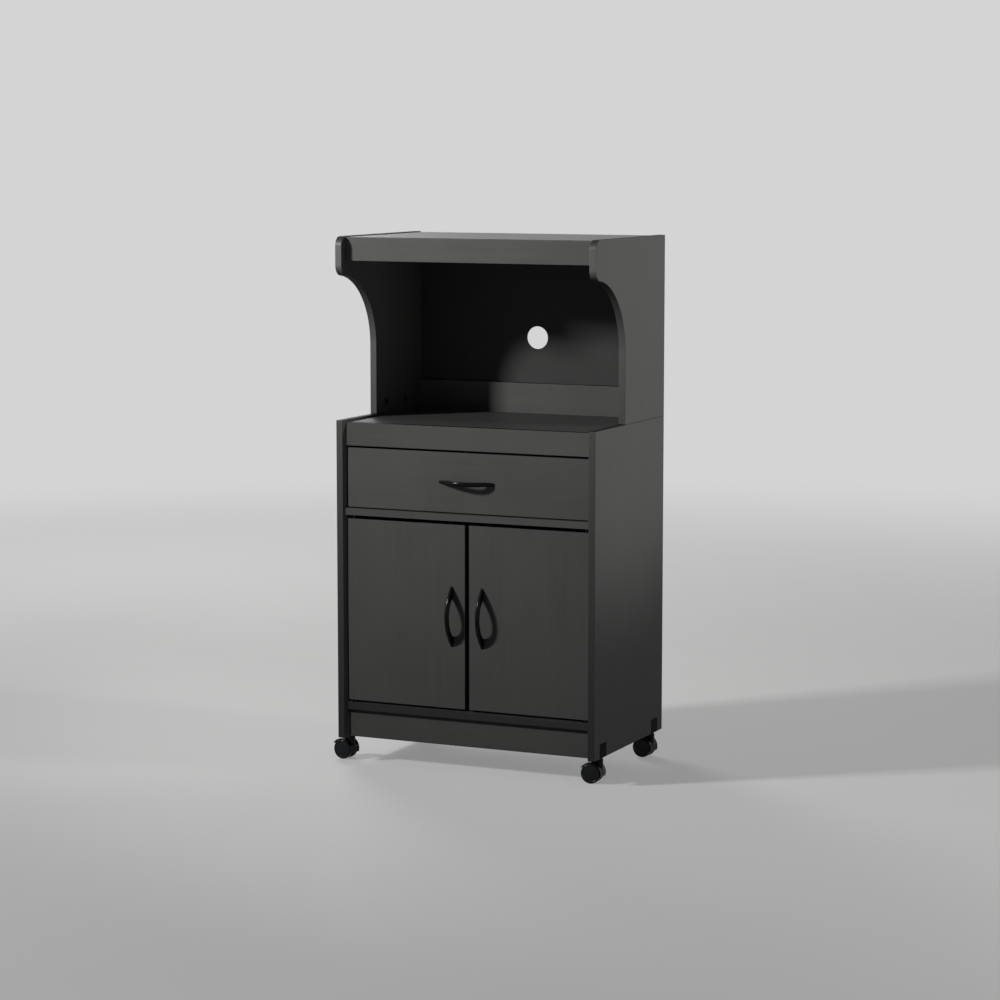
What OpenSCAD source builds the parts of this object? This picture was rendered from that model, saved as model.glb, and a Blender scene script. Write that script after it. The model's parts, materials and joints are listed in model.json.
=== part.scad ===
/* [Cabinet] */
// Overall width across the side panels
cabinet_w = 600; // [480:1:760]
// Overall depth, back panels included
cabinet_d = 384; // [340:1:460]
// Thickness of the boards
board_t = 15; // [14:0.5:18]
// Thickness of the hardboard back panels
back_t = 3; // [2.5:0.5:5]
// Height of the side panels of the lower cabinet
base_h = 689; // [620:1:760]
// Height of the side panels of the upper bay
hutch_h = 391; // [340:1:460]
// Clear height from the floor to the side panels
floor_gap = 55; // [54:0.5:64]

/* [Fronts and rails] */
// How far the worktop lies below the tops of its side panels
worktop_drop = 5; // [2:0.5:10]
// How far the top board lies below the tops of its side panels
hutch_top_drop = 2; // [1:0.5:8]
// Height of the two rails under the worktop and the top board
fascia_h = 50; // [40:1:70]
// How far the rails, the drawer front and the doors sit behind the side panels' front edges
front_inset = 17; // [12:0.5:25]
// How far the fixed shelves sit behind the side panels' front edges
shelf_inset = 10; // [5:0.5:12]
// Clear height of the drawer's bay
drawer_bay_h = 134; // [110:1:170]
// Height of the toe board
toe_h = 62; // [52:1:90]
// How far the toe board sits behind the side panels' front edges
toe_inset = 27; // [20:0.5:40]
// Height of the rail behind the worktop, above the worktop
back_rail_h = 66; // [50:1:90]

/* [Upper bay] */
// How far the upright part of the bay's sides sits behind their top corners
hutch_setback = 160; // [120:1:200]
// Height of the projecting top part of the bay's sides
nose_h = 83; // [70:1:110]
// Radius of the projecting part's upper front corner
nose_top_r = 20; // [8:1:30]
// Radius of the projecting part's lower front corner
nose_low_r = 12; // [6:1:20]
// How far the sweep under the projecting part starts behind its front edge
sweep_start = 4; // [2:0.5:8]
// Diameter of the cable hole
cable_hole_d = 50; // [35:1:70]
// Height of the cable hole's centre above the worktop
cable_hole_z = 166; // [130:1:220]

/* [Doors] */
// Clearance between a turning door's corners and the side panel
door_swing_clear = 0.55; // [0.3:0.05:1.5]
// Gap between the two doors
door_mid_gap = 9; // [4:0.5:12]
// Gap above the doors
door_top_gap = 8; // [7:0.5:12]
// Gap below the doors
door_low_gap = 5; // [5:0.5:8]
// Distance of a door's pivot from its outer edge
pivot_inset = 12; // [10:0.5:14]
// Diameter of the pivot pins
pivot_d = 5; // [4:0.5:6]
// Height of the cupboard shelf's top above the cupboard floor
shelf_z = 205; // [120:1:260]
// How far the cupboard shelf sits behind the doors
shelf_behind = 22; // [18:1:120]

/* [Drawer] */
// Gap between the drawer front and the side panels
drawer_side_gap = 4; // [2:0.5:6]
// Gap above the drawer front
drawer_top_gap = 4; // [2:0.5:6]
// Gap below the drawer front
drawer_low_gap = 2; // [1.5:0.5:4]
// Thickness of the drawer's sides and back
drawer_board_t = 12; // [10:0.5:15]
// Height of the drawer's sides
drawer_box_h = 100; // [70:1:110]
// Gap between the drawer's box and the back panel
drawer_rear_gap = 24; // [15:1:60]
// Gap between the drawer's sides and the cabinet's sides
drawer_gap = 9; // [7:0.5:14]
// Thickness of the drawer's bottom
drawer_floor_t = 4; // [3:0.5:6]
// Height of the runner strips
runner_h = 12; // [8:0.5:20]

/* [Handles] */
// Distance between a handle's screws
handle_pitch = 96; // [76:1:104]
// Overall length of a handle
handle_l = 130; // [120:1:150]
// How far a handle stands out
handle_out = 28; // [22:1:34]
// Width of a handle at its middle
handle_w = 10; // [6:0.5:12]
// Thickness of the bow at its middle
handle_t = 6; // [5:0.5:8]
// Distance of the door handles from the doors' meeting edges
handle_edge = 31; // [20:1:60]
// Height of the door handles' middle above the doors' lower edge
handle_z = 198; // [120:1:260]

/* [Casters] */
// Diameter of a caster's wheels
wheel_d = 43; // [38:1:43]
// Width of one wheel
wheel_w = 11.5; // [10:0.5:15]
// Thickness of the web between the two wheels
web_t = 9.5; // [9.5:0.5:12]
// Distance from a caster's stem to its axle
caster_trail = 16; // [14:0.5:17]
// Diameter of a caster's stem
stem_d = 8; // [7:0.5:8.5]
// Diameter of a caster's axle
axle_d = 5; // [4:0.5:6]
// Distance of the stems from the side panels' front and rear edges
stem_inset = 48; // [40:1:80]
// Width of a stem socket
socket_w = 36; // [30:1:50]
// Height of a stem socket
socket_h = 31; // [26:1:40]
// Resting turn of the front left caster
turn_front_left = -8; // [-180:1:180]
// Resting turn of the front right caster
turn_front_right = 4; // [-180:1:180]
// Resting turn of the rear left caster
turn_rear_left = -6; // [-180:1:180]
// Resting turn of the rear right caster
turn_rear_right = -4; // [-180:1:180]

/* [Fasteners and clearances] */
// Diameter of a cam lock
cam_d = 15; // [12:1:20]
// Height of a cam lock
cam_h = 12; // [9:0.5:12.5]
// Height of a cam lock in the drawer's thinner boards
drawer_cam_h = 9; // [7:0.5:9.5]
// Distance of a cam lock's middle from the joint
cam_reach = 24; // [20:1:34]
// Diameter of a cam bolt
bolt_d = 6; // [5:0.5:7]
// Depth that a cam bolt enters the mating board
bolt_bite = 11; // [8:0.5:12]
// Depth that a cam bolt enters the drawer's boards
drawer_bolt_bite = 8; // [6:0.5:9]
// Diameter of the handle and runner screws
screw_d = 4; // [3:0.5:5]
// Radial clearance of turning parts
run_fit = 0.05; // [0.02:0.01:0.1]
// Clearance of parts that are set into a board
set_fit = 0.1; // [0.05:0.05:0.3]
// Clearance of parts that slide on or rest near each other
slide_fit = 0.3; // [0.2:0.05:0.5]

/* [Hidden] */
$fn = 48;

// A sliver added where a cut runs out through a face
over = 0.5;
laminate = [0.25, 0.25, 0.26];
inner_board = [0.21, 0.21, 0.22];
hardboard = [0.17, 0.17, 0.18];
black_plastic = [0.05, 0.05, 0.055];
black_gloss = [0.03, 0.03, 0.035];
steel = [0.7, 0.71, 0.73];
dark_steel = [0.3, 0.3, 0.31];

// Planes of the carcass, with the origin on the floor at the middle of the plan
half_w = cabinet_w / 2;
inner_w = half_w - board_t;
y_front = -cabinet_d / 2;
y_rear = cabinet_d / 2;
y_boards = y_rear - back_t;
z_side = floor_gap;
z_base_top = z_side + base_h;
z_worktop = z_base_top - worktop_drop;
z_worktop_low = z_worktop - board_t;
z_fascia_low = z_worktop - fascia_h;
z_middle = z_fascia_low - drawer_bay_h;
z_middle_low = z_middle - board_t;
z_floor_low = z_side + toe_h;
z_floor = z_floor_low + board_t;
z_top = z_base_top + hutch_h;
z_hutch_top = z_top - hutch_top_drop;
z_hutch_top_low = z_hutch_top - board_t;
z_hutch_fascia_low = z_hutch_top - fascia_h;
z_back_rail = z_worktop + back_rail_h;
y_worktop_rear = y_boards - board_t;
y_fronts = y_front + front_inset;
y_behind_fronts = y_fronts + board_t;

// Doors, whose side gap leaves room for the corners as they turn
door_side_gap = sqrt(pow(pivot_inset, 2) + pow(board_t / 2, 2)) - pivot_inset + door_swing_clear;
door_w = inner_w - door_side_gap - door_mid_gap / 2;
z_door_low = z_floor + door_low_gap;
door_h = z_middle_low - door_top_gap - z_door_low;
pivot_x = inner_w - door_side_gap - pivot_inset;
pivot_y = y_fronts + board_t / 2;
pivot_set = 20;
bush_wall = 2;
bush_lip = 2.5;
bush_r = pivot_d / 2 + bush_wall;
bush_flange_r = bush_r + bush_lip;
bush_flange_t = 2;
bush_set = 8;
bush_floor = 1;
collar_lip = 1.5;
collar_r = pivot_d / 2 + collar_lip;
strike_w = 14;
strike_h = 13;
strike_t = 1.2;
strike_margin = 3;

// Cupboard shelf and its pins
z_shelf = z_floor + shelf_z;
y_shelf = y_behind_fronts + shelf_behind;
shelf_side_gap = 0.5;
pin_d = 5;
pin_bite = 8;
pin_tab_t = 2;
pin_tab_w = 10;
pin_tab_l = 9;
pin_margin = 45;

// Catch under the fixed shelf
catch_w = 46;
catch_t = 14;
catch_below = 1;
catch_h = door_top_gap + strike_margin + strike_h + catch_below;
magnet_w = 12;
magnet_h = 10;
magnet_t = 5;
y_catch = y_behind_fronts + strike_t + slide_fit;

// Drawer, whose box ends at a set gap before the back panel
drawer_front_w = 2 * (inner_w - drawer_side_gap);
z_drawer_front = z_middle + drawer_low_gap;
drawer_front_h = drawer_bay_h - drawer_low_gap - drawer_top_gap;
drawer_half_w = inner_w - drawer_gap;
drawer_inner_w = drawer_half_w - drawer_board_t;
drawer_lift = 8;
drawer_floor_lift = 10;
z_drawer_box = z_middle + drawer_lift;
y_drawer_back = y_boards - drawer_rear_gap;
z_drawer_floor = z_drawer_box + drawer_floor_lift;
floor_groove = 6;
z_runner = z_drawer_box + drawer_box_h / 2;
runner_bite = 6;
runner_end = 15;
groove_depth = runner_bite + slide_fit;
runner_w = drawer_gap + runner_bite;
y_runner_end = y_drawer_back - runner_end;
runner_screw_l = 24;
runner_screw_margin = 40;
drawer_cam_margin = 6;
z_drawer_cam = z_runner + runner_h / 2 + slide_fit + drawer_cam_margin + cam_d / 2;

// Handles: two arcs through a middle point and two ends
handle_foot = 6;
handle_foot_inner = handle_pitch - 2 * handle_foot;
handle_tip_w = 0.6 * handle_w;
handle_edge_r = 2.5;
handle_screw_bite = 6;
screw_head_r = screw_d;
screw_head_t = 2.4;
screw_play = 0.25;
screw_hole_r = screw_d / 2 + screw_play;
z_drawer_handle = z_drawer_front + drawer_front_h / 2;
z_door_handle = z_door_low + handle_z;
door_handle_x = door_mid_gap / 2 + handle_edge;

// Casters
wheel_r = wheel_d / 2;
hood_gap = 0.8;
hood_t = 1.7;
hood_side = 0.75;
hood_front_angle = -18;
hood_rear_angle = 148;
hood_w = web_t + 2 * (wheel_w + hood_side);
web_margin = 5;
boss_wall = 3.2;
boss_r = stem_d / 2 + boss_wall;
boss_step = 1;
boss_sink = 2;
stem_rise = 1;
stem_low = wheel_r + stem_rise;
stem_flange = 2;
stem_flange_t = 2.5;
boss_top = floor_gap - slide_fit - stem_flange_t;
axle_inset = 0.5;
socket_roof = 4;
socket_bore = socket_h - socket_roof;
stem_end_gap = 1;
socket_taper = 2;
stem_y = cabinet_d / 2 - stem_inset;
stem_x = half_w - board_t / 2;

// Back panels end this far inside the side panels' outer faces
back_reveal = 2;

// Middle of each flat board's joints with the side panels, as [y, z] with the cam from below
cam_margin = 50;
fascia_cam_z = 20;
cam_front = y_fronts + cam_margin;
cam_rear = y_boards - cam_margin;
flat_joints = [for (z = [z_worktop, z_middle, z_floor, z_hutch_top]) for (y = [cam_front, cam_rear])
    [y, z - board_t / 2]];
// Middle of each upright board's joints, as [y, z] with the cam from behind
upright_joints = [[y_fronts + board_t / 2, z_fascia_low + fascia_cam_z],
    [y_fronts + board_t / 2, z_hutch_fascia_low + fascia_cam_z],
    [y_front + toe_inset + board_t / 2, z_side + (socket_h + toe_h) / 2],
    [y_boards - board_t / 2, z_worktop + back_rail_h / 2]];
// Depths of the joints between the lower and the upper side panels
foot_margin = 47;
foot_pitch = 95;
foot_joints = [y_front + hutch_setback + foot_margin, y_front + hutch_setback + foot_margin + foot_pitch];

// Radius of the arc with this chord and this rise
function arc_radius(chord, rise) = (chord * chord / 4 + rise * rise) / (2 * rise);

// A board given by its two corners, and one on the right side at side 1 or mirrored to the left at side -1
module board(low, high) {
    translate(low) cube([high[0] - low[0], high[1] - low[1], high[2] - low[2]]);
}
module side_board(side, low, high) {
    board([side > 0 ? low[0] : -high[0], low[1], low[2]], [side > 0 ? high[0] : -low[0], high[1], high[2]]);
}

// Places the children at both ends of the flat and upright boards and on the lower side panels,
// with +X running into the board that holds the cam and the cam on the -Z side
module at_flat_joints() {
    for (side = [-1, 1]) for (site = flat_joints)
        translate([side * inner_w, site[0], site[1]]) rotate([0, 0, side > 0 ? 180 : 0]) children();
}
module at_upright_joints() {
    for (side = [-1, 1]) for (site = upright_joints)
        translate([side * inner_w, site[0], site[1]]) rotate([-90 * side, 0, side > 0 ? 180 : 0]) children();
}
module at_foot_joints() {
    for (side = [-1, 1]) for (y = foot_joints)
        translate([side * stem_x, y, z_base_top]) rotate([0, -90, side > 0 ? 180 : 0]) children();
}
module at_all_joints() {
    at_flat_joints() children();
    at_upright_joints() children();
    at_foot_joints() children();
}

// The bores of one joint: the bolt's bore through both boards and the cam's blind bore, whose floor
// lies past the bolt's bore and never just touches it
module joint_bores(t = board_t, h = cam_h, bite = bolt_bite) {
    translate([-bite - set_fit, 0, 0]) rotate([0, 90, 0])
        cylinder(h = bite + set_fit + cam_reach, r = bolt_d / 2 + set_fit);
    translate([cam_reach, 0, -t / 2 - over]) cylinder(h = over + h + slide_fit, r = cam_d / 2 + set_fit);
}

module cam_lock(t = board_t, h = cam_h) {
    slot_w = 2;
    slot_margin = 2.25;
    slot_l = cam_d - 2 * slot_margin;
    translate([cam_reach, 0, -t / 2]) difference() {
        cylinder(h = h, d = cam_d);
        translate([-slot_l / 2, -slot_w / 2, -over]) cube([slot_l, slot_w, over + slot_w]);
        translate([-slot_w / 2, -slot_l / 2, -over]) cube([slot_w, slot_l, over + slot_w]);
    }
}

module cam_bolt(bite = bolt_bite) {
    head_l = 4;
    head_taper = 2;
    tip = cam_reach - cam_d / 2 - set_fit;
    translate([-bite, 0, 0]) rotate([0, 90, 0]) {
        cylinder(h = bite + tip - head_l, d = bolt_d);
        translate([0, 0, bite + tip - head_l]) cylinder(h = head_l, d1 = bolt_d, d2 = bolt_d - head_taper);
    }
}

module cam_locks() {
    color(dark_steel) at_all_joints() cam_lock();
}

module cam_bolts() {
    color(steel) at_all_joints() cam_bolt();
}

// The block that holds a caster's stem, and the notch that it fills
module at_stems() {
    for (x = [-stem_x, stem_x]) for (y = [-stem_y, stem_y]) translate([x, y, 0]) children();
}

module socket_outline(grow) {
    half = socket_w / 2 + grow;
    high = socket_h + grow;
    polygon([[-half, -over * grow / set_fit], [half, -over * grow / set_fit], [half, high - socket_taper],
        [half - socket_taper, high], [-half + socket_taper, high], [-half, high - socket_taper]]);
}

module socket_block(depth, grow) {
    translate([-depth / 2, 0, z_side]) rotate([90, 0, 90]) linear_extrude(depth) socket_outline(grow);
}

module caster_sockets() {
    color(black_plastic) at_stems() difference() {
        socket_block(board_t, 0);
        translate([0, 0, z_side - over]) cylinder(h = socket_bore + over, r = stem_d / 2 + run_fit);
    }
}

module base_side(side) {
    color(laminate) difference() {
        side_board(side, [inner_w, y_front, z_side], [half_w, y_boards, z_base_top]);
        at_stems() socket_block(board_t + 2 * over, set_fit);
        at_all_joints() joint_bores();
        at_shelf_pins() shelf_pin_bore();
        at_runner_screws() runner_screw_bore();
    }
}

module worktop() {
    color(laminate) difference() {
        board([-inner_w, y_behind_fronts, z_worktop_low], [inner_w, y_worktop_rear, z_worktop]);
        at_flat_joints() joint_bores();
    }
}

module worktop_fascia() {
    color(laminate) difference() {
        board([-inner_w, y_fronts, z_fascia_low], [inner_w, y_behind_fronts, z_worktop]);
        at_upright_joints() joint_bores();
    }
}

module middle_panel() {
    color(inner_board) difference() {
        board([-inner_w, y_front + shelf_inset, z_middle_low], [inner_w, y_boards, z_middle]);
        at_flat_joints() joint_bores();
        at_bushes(true) bush_bore();
    }
}

module bottom_panel() {
    color(inner_board) difference() {
        board([-inner_w, y_front + shelf_inset, z_floor_low], [inner_w, y_boards, z_floor]);
        at_flat_joints() joint_bores();
        at_bushes(false) bush_bore();
    }
}

module toe_kick() {
    color(laminate) difference() {
        board([-inner_w, y_front + toe_inset, z_side],
            [inner_w, y_front + toe_inset + board_t, z_floor_low]);
        at_upright_joints() joint_bores();
    }
}

module base_back_panel() {
    color(hardboard)
        board([-half_w + back_reveal, y_boards, z_floor_low + back_reveal],
            [half_w - back_reveal, y_rear, z_worktop - back_reveal]);
}

// The cupboard shelf lies on the tabs of four pins
module at_shelf_pins() {
    for (side = [-1, 1]) for (y = [y_shelf + pin_margin, y_boards - pin_margin])
        translate([side * inner_w, y, z_shelf - board_t]) rotate([0, 0, side > 0 ? 180 : 0]) children();
}

module shelf_pin_bore() {
    translate([-pin_bite - set_fit, 0, -pin_tab_t - pin_d / 2]) rotate([0, 90, 0])
        cylinder(h = pin_bite + set_fit + over, r = pin_d / 2 + set_fit);
}

module shelf_pins() {
    pin_drop = pin_tab_t + pin_d / 2;
    color(steel) at_shelf_pins() {
        translate([-pin_bite, 0, -pin_drop]) rotate([0, 90, 0]) cylinder(h = pin_bite + pin_tab_l, d = pin_d);
        translate([0, -pin_tab_w / 2, -pin_drop]) cube([pin_tab_l, pin_tab_w, pin_drop]);
    }
}

module cupboard_shelf() {
    color(inner_board)
        board([-inner_w + shelf_side_gap, y_shelf, z_shelf - board_t],
            [inner_w - shelf_side_gap, y_boards, z_shelf]);
}

// Side of the upper bay: a full-depth head over a set-back upright, joined by a quarter circle
module hutch_outline() {
    sweep_r = hutch_setback - sweep_start;
    z_sweep = z_top - nose_h - sweep_r;
    deep = y_boards - y_front;
    // the lower corner's circle touches the front edge and the sweep
    corner_rise = sqrt(pow(sweep_r + nose_low_r, 2) - pow(nose_low_r - sweep_start, 2)) - nose_low_r;
    difference() {
        translate([y_front, z_base_top]) square([deep, hutch_h]);
        // the open front below the head
        translate([y_front - over, z_base_top - over])
            square([hutch_setback + over, z_sweep - z_base_top + over]);
        translate([y_front - over, z_sweep - over]) square([sweep_start + over, sweep_r + over]);
        translate([y_front + sweep_start, z_sweep]) intersection() {
            circle(r = sweep_r, $fn = 240);
            translate([-over, -over]) square(sweep_r + 2 * over);
        }
        corner_cut(y_front, z_top, nose_top_r, 1);
        corner_cut(y_front, z_sweep + corner_rise, nose_low_r, -1);
    }
}

// What a rounded front corner removes, above for way 1 and below for way -1
module corner_cut(y, z, r, way) {
    translate([y, z]) scale([1, way]) difference() {
        translate([-over, -r]) square([r + over, r + over]);
        translate([r, -r]) circle(r = r);
    }
}

module hutch_side(side) {
    color(laminate) difference() {
        translate([side > 0 ? inner_w : -half_w, 0, 0]) rotate([90, 0, 90])
            linear_extrude(board_t) hutch_outline();
        at_all_joints() joint_bores();
    }
}

module hutch_top() {
    color(laminate) difference() {
        board([-inner_w, y_behind_fronts, z_hutch_top_low], [inner_w, y_boards, z_hutch_top]);
        at_flat_joints() joint_bores();
    }
}

module hutch_fascia() {
    color(laminate) difference() {
        board([-inner_w, y_fronts, z_hutch_fascia_low], [inner_w, y_behind_fronts, z_hutch_top]);
        at_upright_joints() joint_bores();
    }
}

module hutch_back_panel() {
    color(hardboard) difference() {
        board([-half_w + back_reveal, y_boards, z_worktop],
            [half_w - back_reveal, y_rear, z_top - back_reveal]);
        translate([0, y_boards - over, z_worktop + cable_hole_z]) rotate([-90, 0, 0])
            cylinder(h = back_t + 2 * over, d = cable_hole_d, $fn = 96);
    }
}

module hutch_back_rail() {
    color(laminate) difference() {
        board([-inner_w, y_worktop_rear, z_worktop_low], [inner_w, y_boards, z_back_rail]);
        at_upright_joints() joint_bores();
    }
}

// Strips that the drawer's grooved sides run on, each held by two countersunk screws
module at_runner_screws() {
    for (side = [-1, 1])
        for (y = [y_behind_fronts + runner_screw_margin, y_runner_end - runner_screw_margin])
            translate([side * inner_w, y, z_runner]) rotate([0, side > 0 ? -90 : 90, 0]) children();
}

module runner_screw_bore() {
    translate([0, 0, runner_w - runner_screw_l - set_fit])
        cylinder(h = runner_screw_l, r = screw_d / 2 + set_fit);
}

module runner_screws() {
    color(steel) at_runner_screws() {
        translate([0, 0, runner_w - runner_screw_l]) cylinder(h = runner_screw_l - set_fit, d = screw_d);
        translate([0, 0, runner_w - screw_head_t - set_fit])
            cylinder(h = screw_head_t, r1 = screw_d / 2, r2 = screw_head_r);
    }
}

module runner(side) {
    color(black_plastic) difference() {
        side_board(side, [inner_w - runner_w, y_behind_fronts + slide_fit, z_runner - runner_h / 2],
            [inner_w, y_runner_end, z_runner + runner_h / 2]);
        at_runner_screws() {
            translate([0, 0, -over]) cylinder(h = runner_w + 2 * over, r = screw_d / 2 + set_fit);
            translate([0, 0, runner_w - screw_head_t - 2 * set_fit])
                cylinder(h = screw_head_t + 2 * set_fit + over, r = screw_head_r + set_fit);
        }
    }
}

// Flanged bushes that the doors' pivot pins turn in, set flush into the boards below and above each door
module at_bushes(above) {
    for (side = [-1, 1])
        translate([side * pivot_x, pivot_y, above ? z_middle_low : z_floor])
            scale([1, 1, above ? -1 : 1]) children();
}

module bush_bore() {
    translate([0, 0, -bush_set - set_fit]) cylinder(h = bush_set + set_fit + over, r = bush_r + set_fit);
    translate([0, 0, -bush_flange_t]) cylinder(h = bush_flange_t + over, r = bush_flange_r + set_fit);
}

module bush() {
    difference() {
        union() {
            translate([0, 0, -bush_set]) cylinder(h = bush_set, r = bush_r);
            translate([0, 0, -bush_flange_t]) cylinder(h = bush_flange_t, r = bush_flange_r);
        }
        translate([0, 0, -bush_set + bush_floor]) cylinder(h = bush_set, r = pivot_d / 2 + run_fit);
    }
}

module hinge_bushes() {
    color(black_plastic) {
        at_bushes(true) bush();
        at_bushes(false) bush();
    }
}

// Double catch with one magnet for each door
module door_catch() {
    color(black_plastic) difference() {
        board([-catch_w / 2, y_catch, z_middle_low - catch_h],
            [catch_w / 2, y_catch + catch_t, z_middle_low]);
        for (side = [-1, 1]) magnet_space(side, set_fit);
    }
}

module magnet_space(side, grow) {
    middle_x = door_mid_gap / 2 + strike_margin + strike_w / 2;
    middle_z = z_middle_low - door_top_gap - strike_margin - strike_h / 2;
    wide = magnet_w / 2 + grow;
    high = magnet_h / 2 + grow;
    board([side * middle_x - wide, y_catch - (grow > 0 ? over : 0), middle_z - high],
        [side * middle_x + wide, y_catch + magnet_t + grow, middle_z + high]);
}

module catch_magnets() {
    color(steel) for (side = [-1, 1]) magnet_space(side, 0);
}

// Bow handle along X, standing out towards -Y, its screws' middle at the origin
module handle_bow() {
    outer_r = arc_radius(handle_l, handle_out);
    inner_r = arc_radius(handle_foot_inner, handle_out - handle_t);
    arc_steps = 240;
    difference() {
        intersection() {
            translate([0, 0, -handle_w / 2]) linear_extrude(handle_w) difference() {
                translate([0, outer_r - handle_out]) circle(r = outer_r, $fn = arc_steps);
                translate([-handle_l, 0]) square([2 * handle_l, 2 * outer_r]);
                translate([0, inner_r - handle_out + handle_t]) circle(r = inner_r, $fn = arc_steps);
            }
            handle_plan();
            translate([0, outer_r - handle_out, 0]) rotate_extrude($fn = arc_steps) crowned(outer_r);
        }
        at_handle_screws() translate([0, -handle_screw_bite - set_fit, 0]) rotate([-90, 0, 0])
            cylinder(h = handle_screw_bite + set_fit + over, r = screw_d / 2 + set_fit);
    }
}

// The handle seen from the front, narrower towards its ends
module handle_plan() {
    wide = handle_w / 2;
    tip = handle_tip_w / 2;
    half_pitch = handle_pitch / 2;
    half_l = handle_l / 2;
    rotate([90, 0, 0]) linear_extrude(handle_out + over) polygon([
        [-half_l, tip], [-half_pitch, wide], [half_pitch, wide], [half_l, tip],
        [half_l, -tip], [half_pitch, -wide], [-half_pitch, -wide], [-half_l, -tip]]);
}

// Half section of a disc of the handle's width with a rounded rim
module crowned(r) {
    corner = handle_edge_r;
    half = handle_w / 2;
    translate([0, -half]) square([r - corner, handle_w]);
    translate([0, -half + corner]) square([r, handle_w - 2 * corner]);
    for (y = [-half + corner, half - corner]) translate([r - corner, y]) circle(r = corner, $fn = 32);
}

module at_handle_screws() {
    for (x = [-handle_pitch / 2, handle_pitch / 2]) translate([x, 0, 0]) children();
}

module handle_screws() {
    at_handle_screws() rotate([-90, 0, 0]) {
        translate([0, 0, -handle_screw_bite]) cylinder(h = handle_screw_bite + board_t, d = screw_d);
        translate([0, 0, board_t]) cylinder(h = screw_head_t, r = screw_head_r);
    }
}

module handle_screw_bores() {
    at_handle_screws() translate([0, -over, 0]) rotate([-90, 0, 0])
        cylinder(h = board_t + 2 * over, r = screw_hole_r);
}

module at_drawer_handle() {
    translate([0, y_fronts, z_drawer_handle]) children();
}

module at_door_handle(side) {
    translate([side * door_handle_x, y_fronts, z_door_handle]) rotate([0, -90, 0]) children();
}

// The drawer's corners, with +X running into the board that holds the cam: the sides hold the cams
// in front, on their inner faces, and the back holds them behind, on its rear face
module at_drawer_corners() {
    for (side = [-1, 1]) {
        translate([side * (drawer_inner_w + drawer_board_t / 2), y_behind_fronts, z_drawer_cam])
            rotate([90 * side, 0, 90]) children();
        translate([side * drawer_inner_w, y_drawer_back - drawer_board_t / 2, z_drawer_cam])
            rotate([-90 * side, 0, side > 0 ? 180 : 0]) children();
    }
}

module drawer_corner_bores() {
    at_drawer_corners() joint_bores(drawer_board_t, drawer_cam_h, drawer_bolt_bite);
}

module drawer_cam_locks() {
    color(steel) at_drawer_corners() cam_lock(drawer_board_t, drawer_cam_h);
}

module drawer_cam_bolts() {
    color(steel) at_drawer_corners() cam_bolt(drawer_bolt_bite);
}

module drawer_front() {
    color(laminate) difference() {
        board([-drawer_front_w / 2, y_fronts, z_drawer_front],
            [drawer_front_w / 2, y_behind_fronts, z_drawer_front + drawer_front_h]);
        at_drawer_handle() handle_screw_bores();
        drawer_corner_bores();
    }
}

module drawer_side(side) {
    groove_half_h = runner_h / 2 + slide_fit;
    color(inner_board) difference() {
        side_board(side, [drawer_inner_w, y_behind_fronts, z_drawer_box],
            [drawer_half_w, y_drawer_back, z_drawer_box + drawer_box_h]);
        side_board(side, [drawer_half_w - groove_depth, y_behind_fronts - over, z_runner - groove_half_h],
            [drawer_half_w + over, y_drawer_back + over, z_runner + groove_half_h]);
        drawer_floor_space(set_fit);
        drawer_corner_bores();
    }
}

module drawer_floor_space(grow) {
    reach = drawer_inner_w + floor_groove - set_fit + grow;
    board([-reach, y_behind_fronts - over, z_drawer_floor - grow],
        [reach, y_drawer_back + over, z_drawer_floor + drawer_floor_t + grow]);
}

module drawer_back() {
    color(inner_board) difference() {
        board([-drawer_inner_w, y_drawer_back - drawer_board_t, z_drawer_floor + drawer_floor_t + set_fit],
            [drawer_inner_w, y_drawer_back, z_drawer_box + drawer_box_h]);
        drawer_corner_bores();
    }
}

module drawer_bottom() {
    color(hardboard) intersection() {
        drawer_floor_space(0);
        board([-inner_w, y_behind_fronts, z_middle], [inner_w, y_drawer_back, z_worktop]);
    }
}

module drawer_handle() {
    color(black_gloss) at_drawer_handle() handle_bow();
}

module drawer_handle_screws() {
    color(steel) at_drawer_handle() handle_screws();
}

// Doors, which turn on a pin at each end close to the outer edge
module door(side) {
    edge_in = door_mid_gap / 2;
    color(laminate) difference() {
        side_board(side, [edge_in, y_fronts, z_door_low],
            [edge_in + door_w, y_behind_fronts, z_door_low + door_h]);
        at_door_handle(side) handle_screw_bores();
        // open below and above, where the pins stick out of the door's ends
        for (z = [z_door_low - over, z_door_low + door_h - pivot_set])
            translate([side * pivot_x, pivot_y, z]) cylinder(h = pivot_set + over, r = pivot_d / 2 + set_fit);
    }
}

module pivot_pins(side) {
    pin_gap = bush_floor + slide_fit;
    low_end = z_floor - bush_set + pin_gap;
    low_top = z_door_low + pivot_set - set_fit;
    high_low = z_door_low + door_h - pivot_set + set_fit;
    high_end = z_middle_low + bush_set - pin_gap;
    collar_low = z_floor + slide_fit;
    color(dark_steel) translate([side * pivot_x, pivot_y, 0]) {
        translate([0, 0, low_end]) cylinder(h = low_top - low_end, d = pivot_d);
        translate([0, 0, collar_low]) cylinder(h = z_door_low - collar_low, r = collar_r);
        translate([0, 0, high_low]) cylinder(h = high_end - high_low, d = pivot_d);
    }
}

module strike_plate(side) {
    near = door_mid_gap / 2 + strike_margin;
    z_strike = z_door_low + door_h - strike_margin;
    color(steel) side_board(side, [near, y_behind_fronts, z_strike - strike_h],
        [near + strike_w, y_behind_fronts + strike_t, z_strike]);
}

module door_handle(side) {
    color(black_gloss) at_door_handle(side) handle_bow();
}

module door_handle_screws(side) {
    color(steel) at_door_handle(side) handle_screws();
}

// Twin-wheel caster: its stem stands on the origin and its wheels trail towards -X
module at_caster(side, row, turn) {
    translate([side * stem_x, row * stem_y, 0]) rotate([0, 0, turn]) children();
}

module at_axle() {
    translate([-caster_trail, 0, wheel_r]) rotate([90, 0, 0]) children();
}

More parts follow.
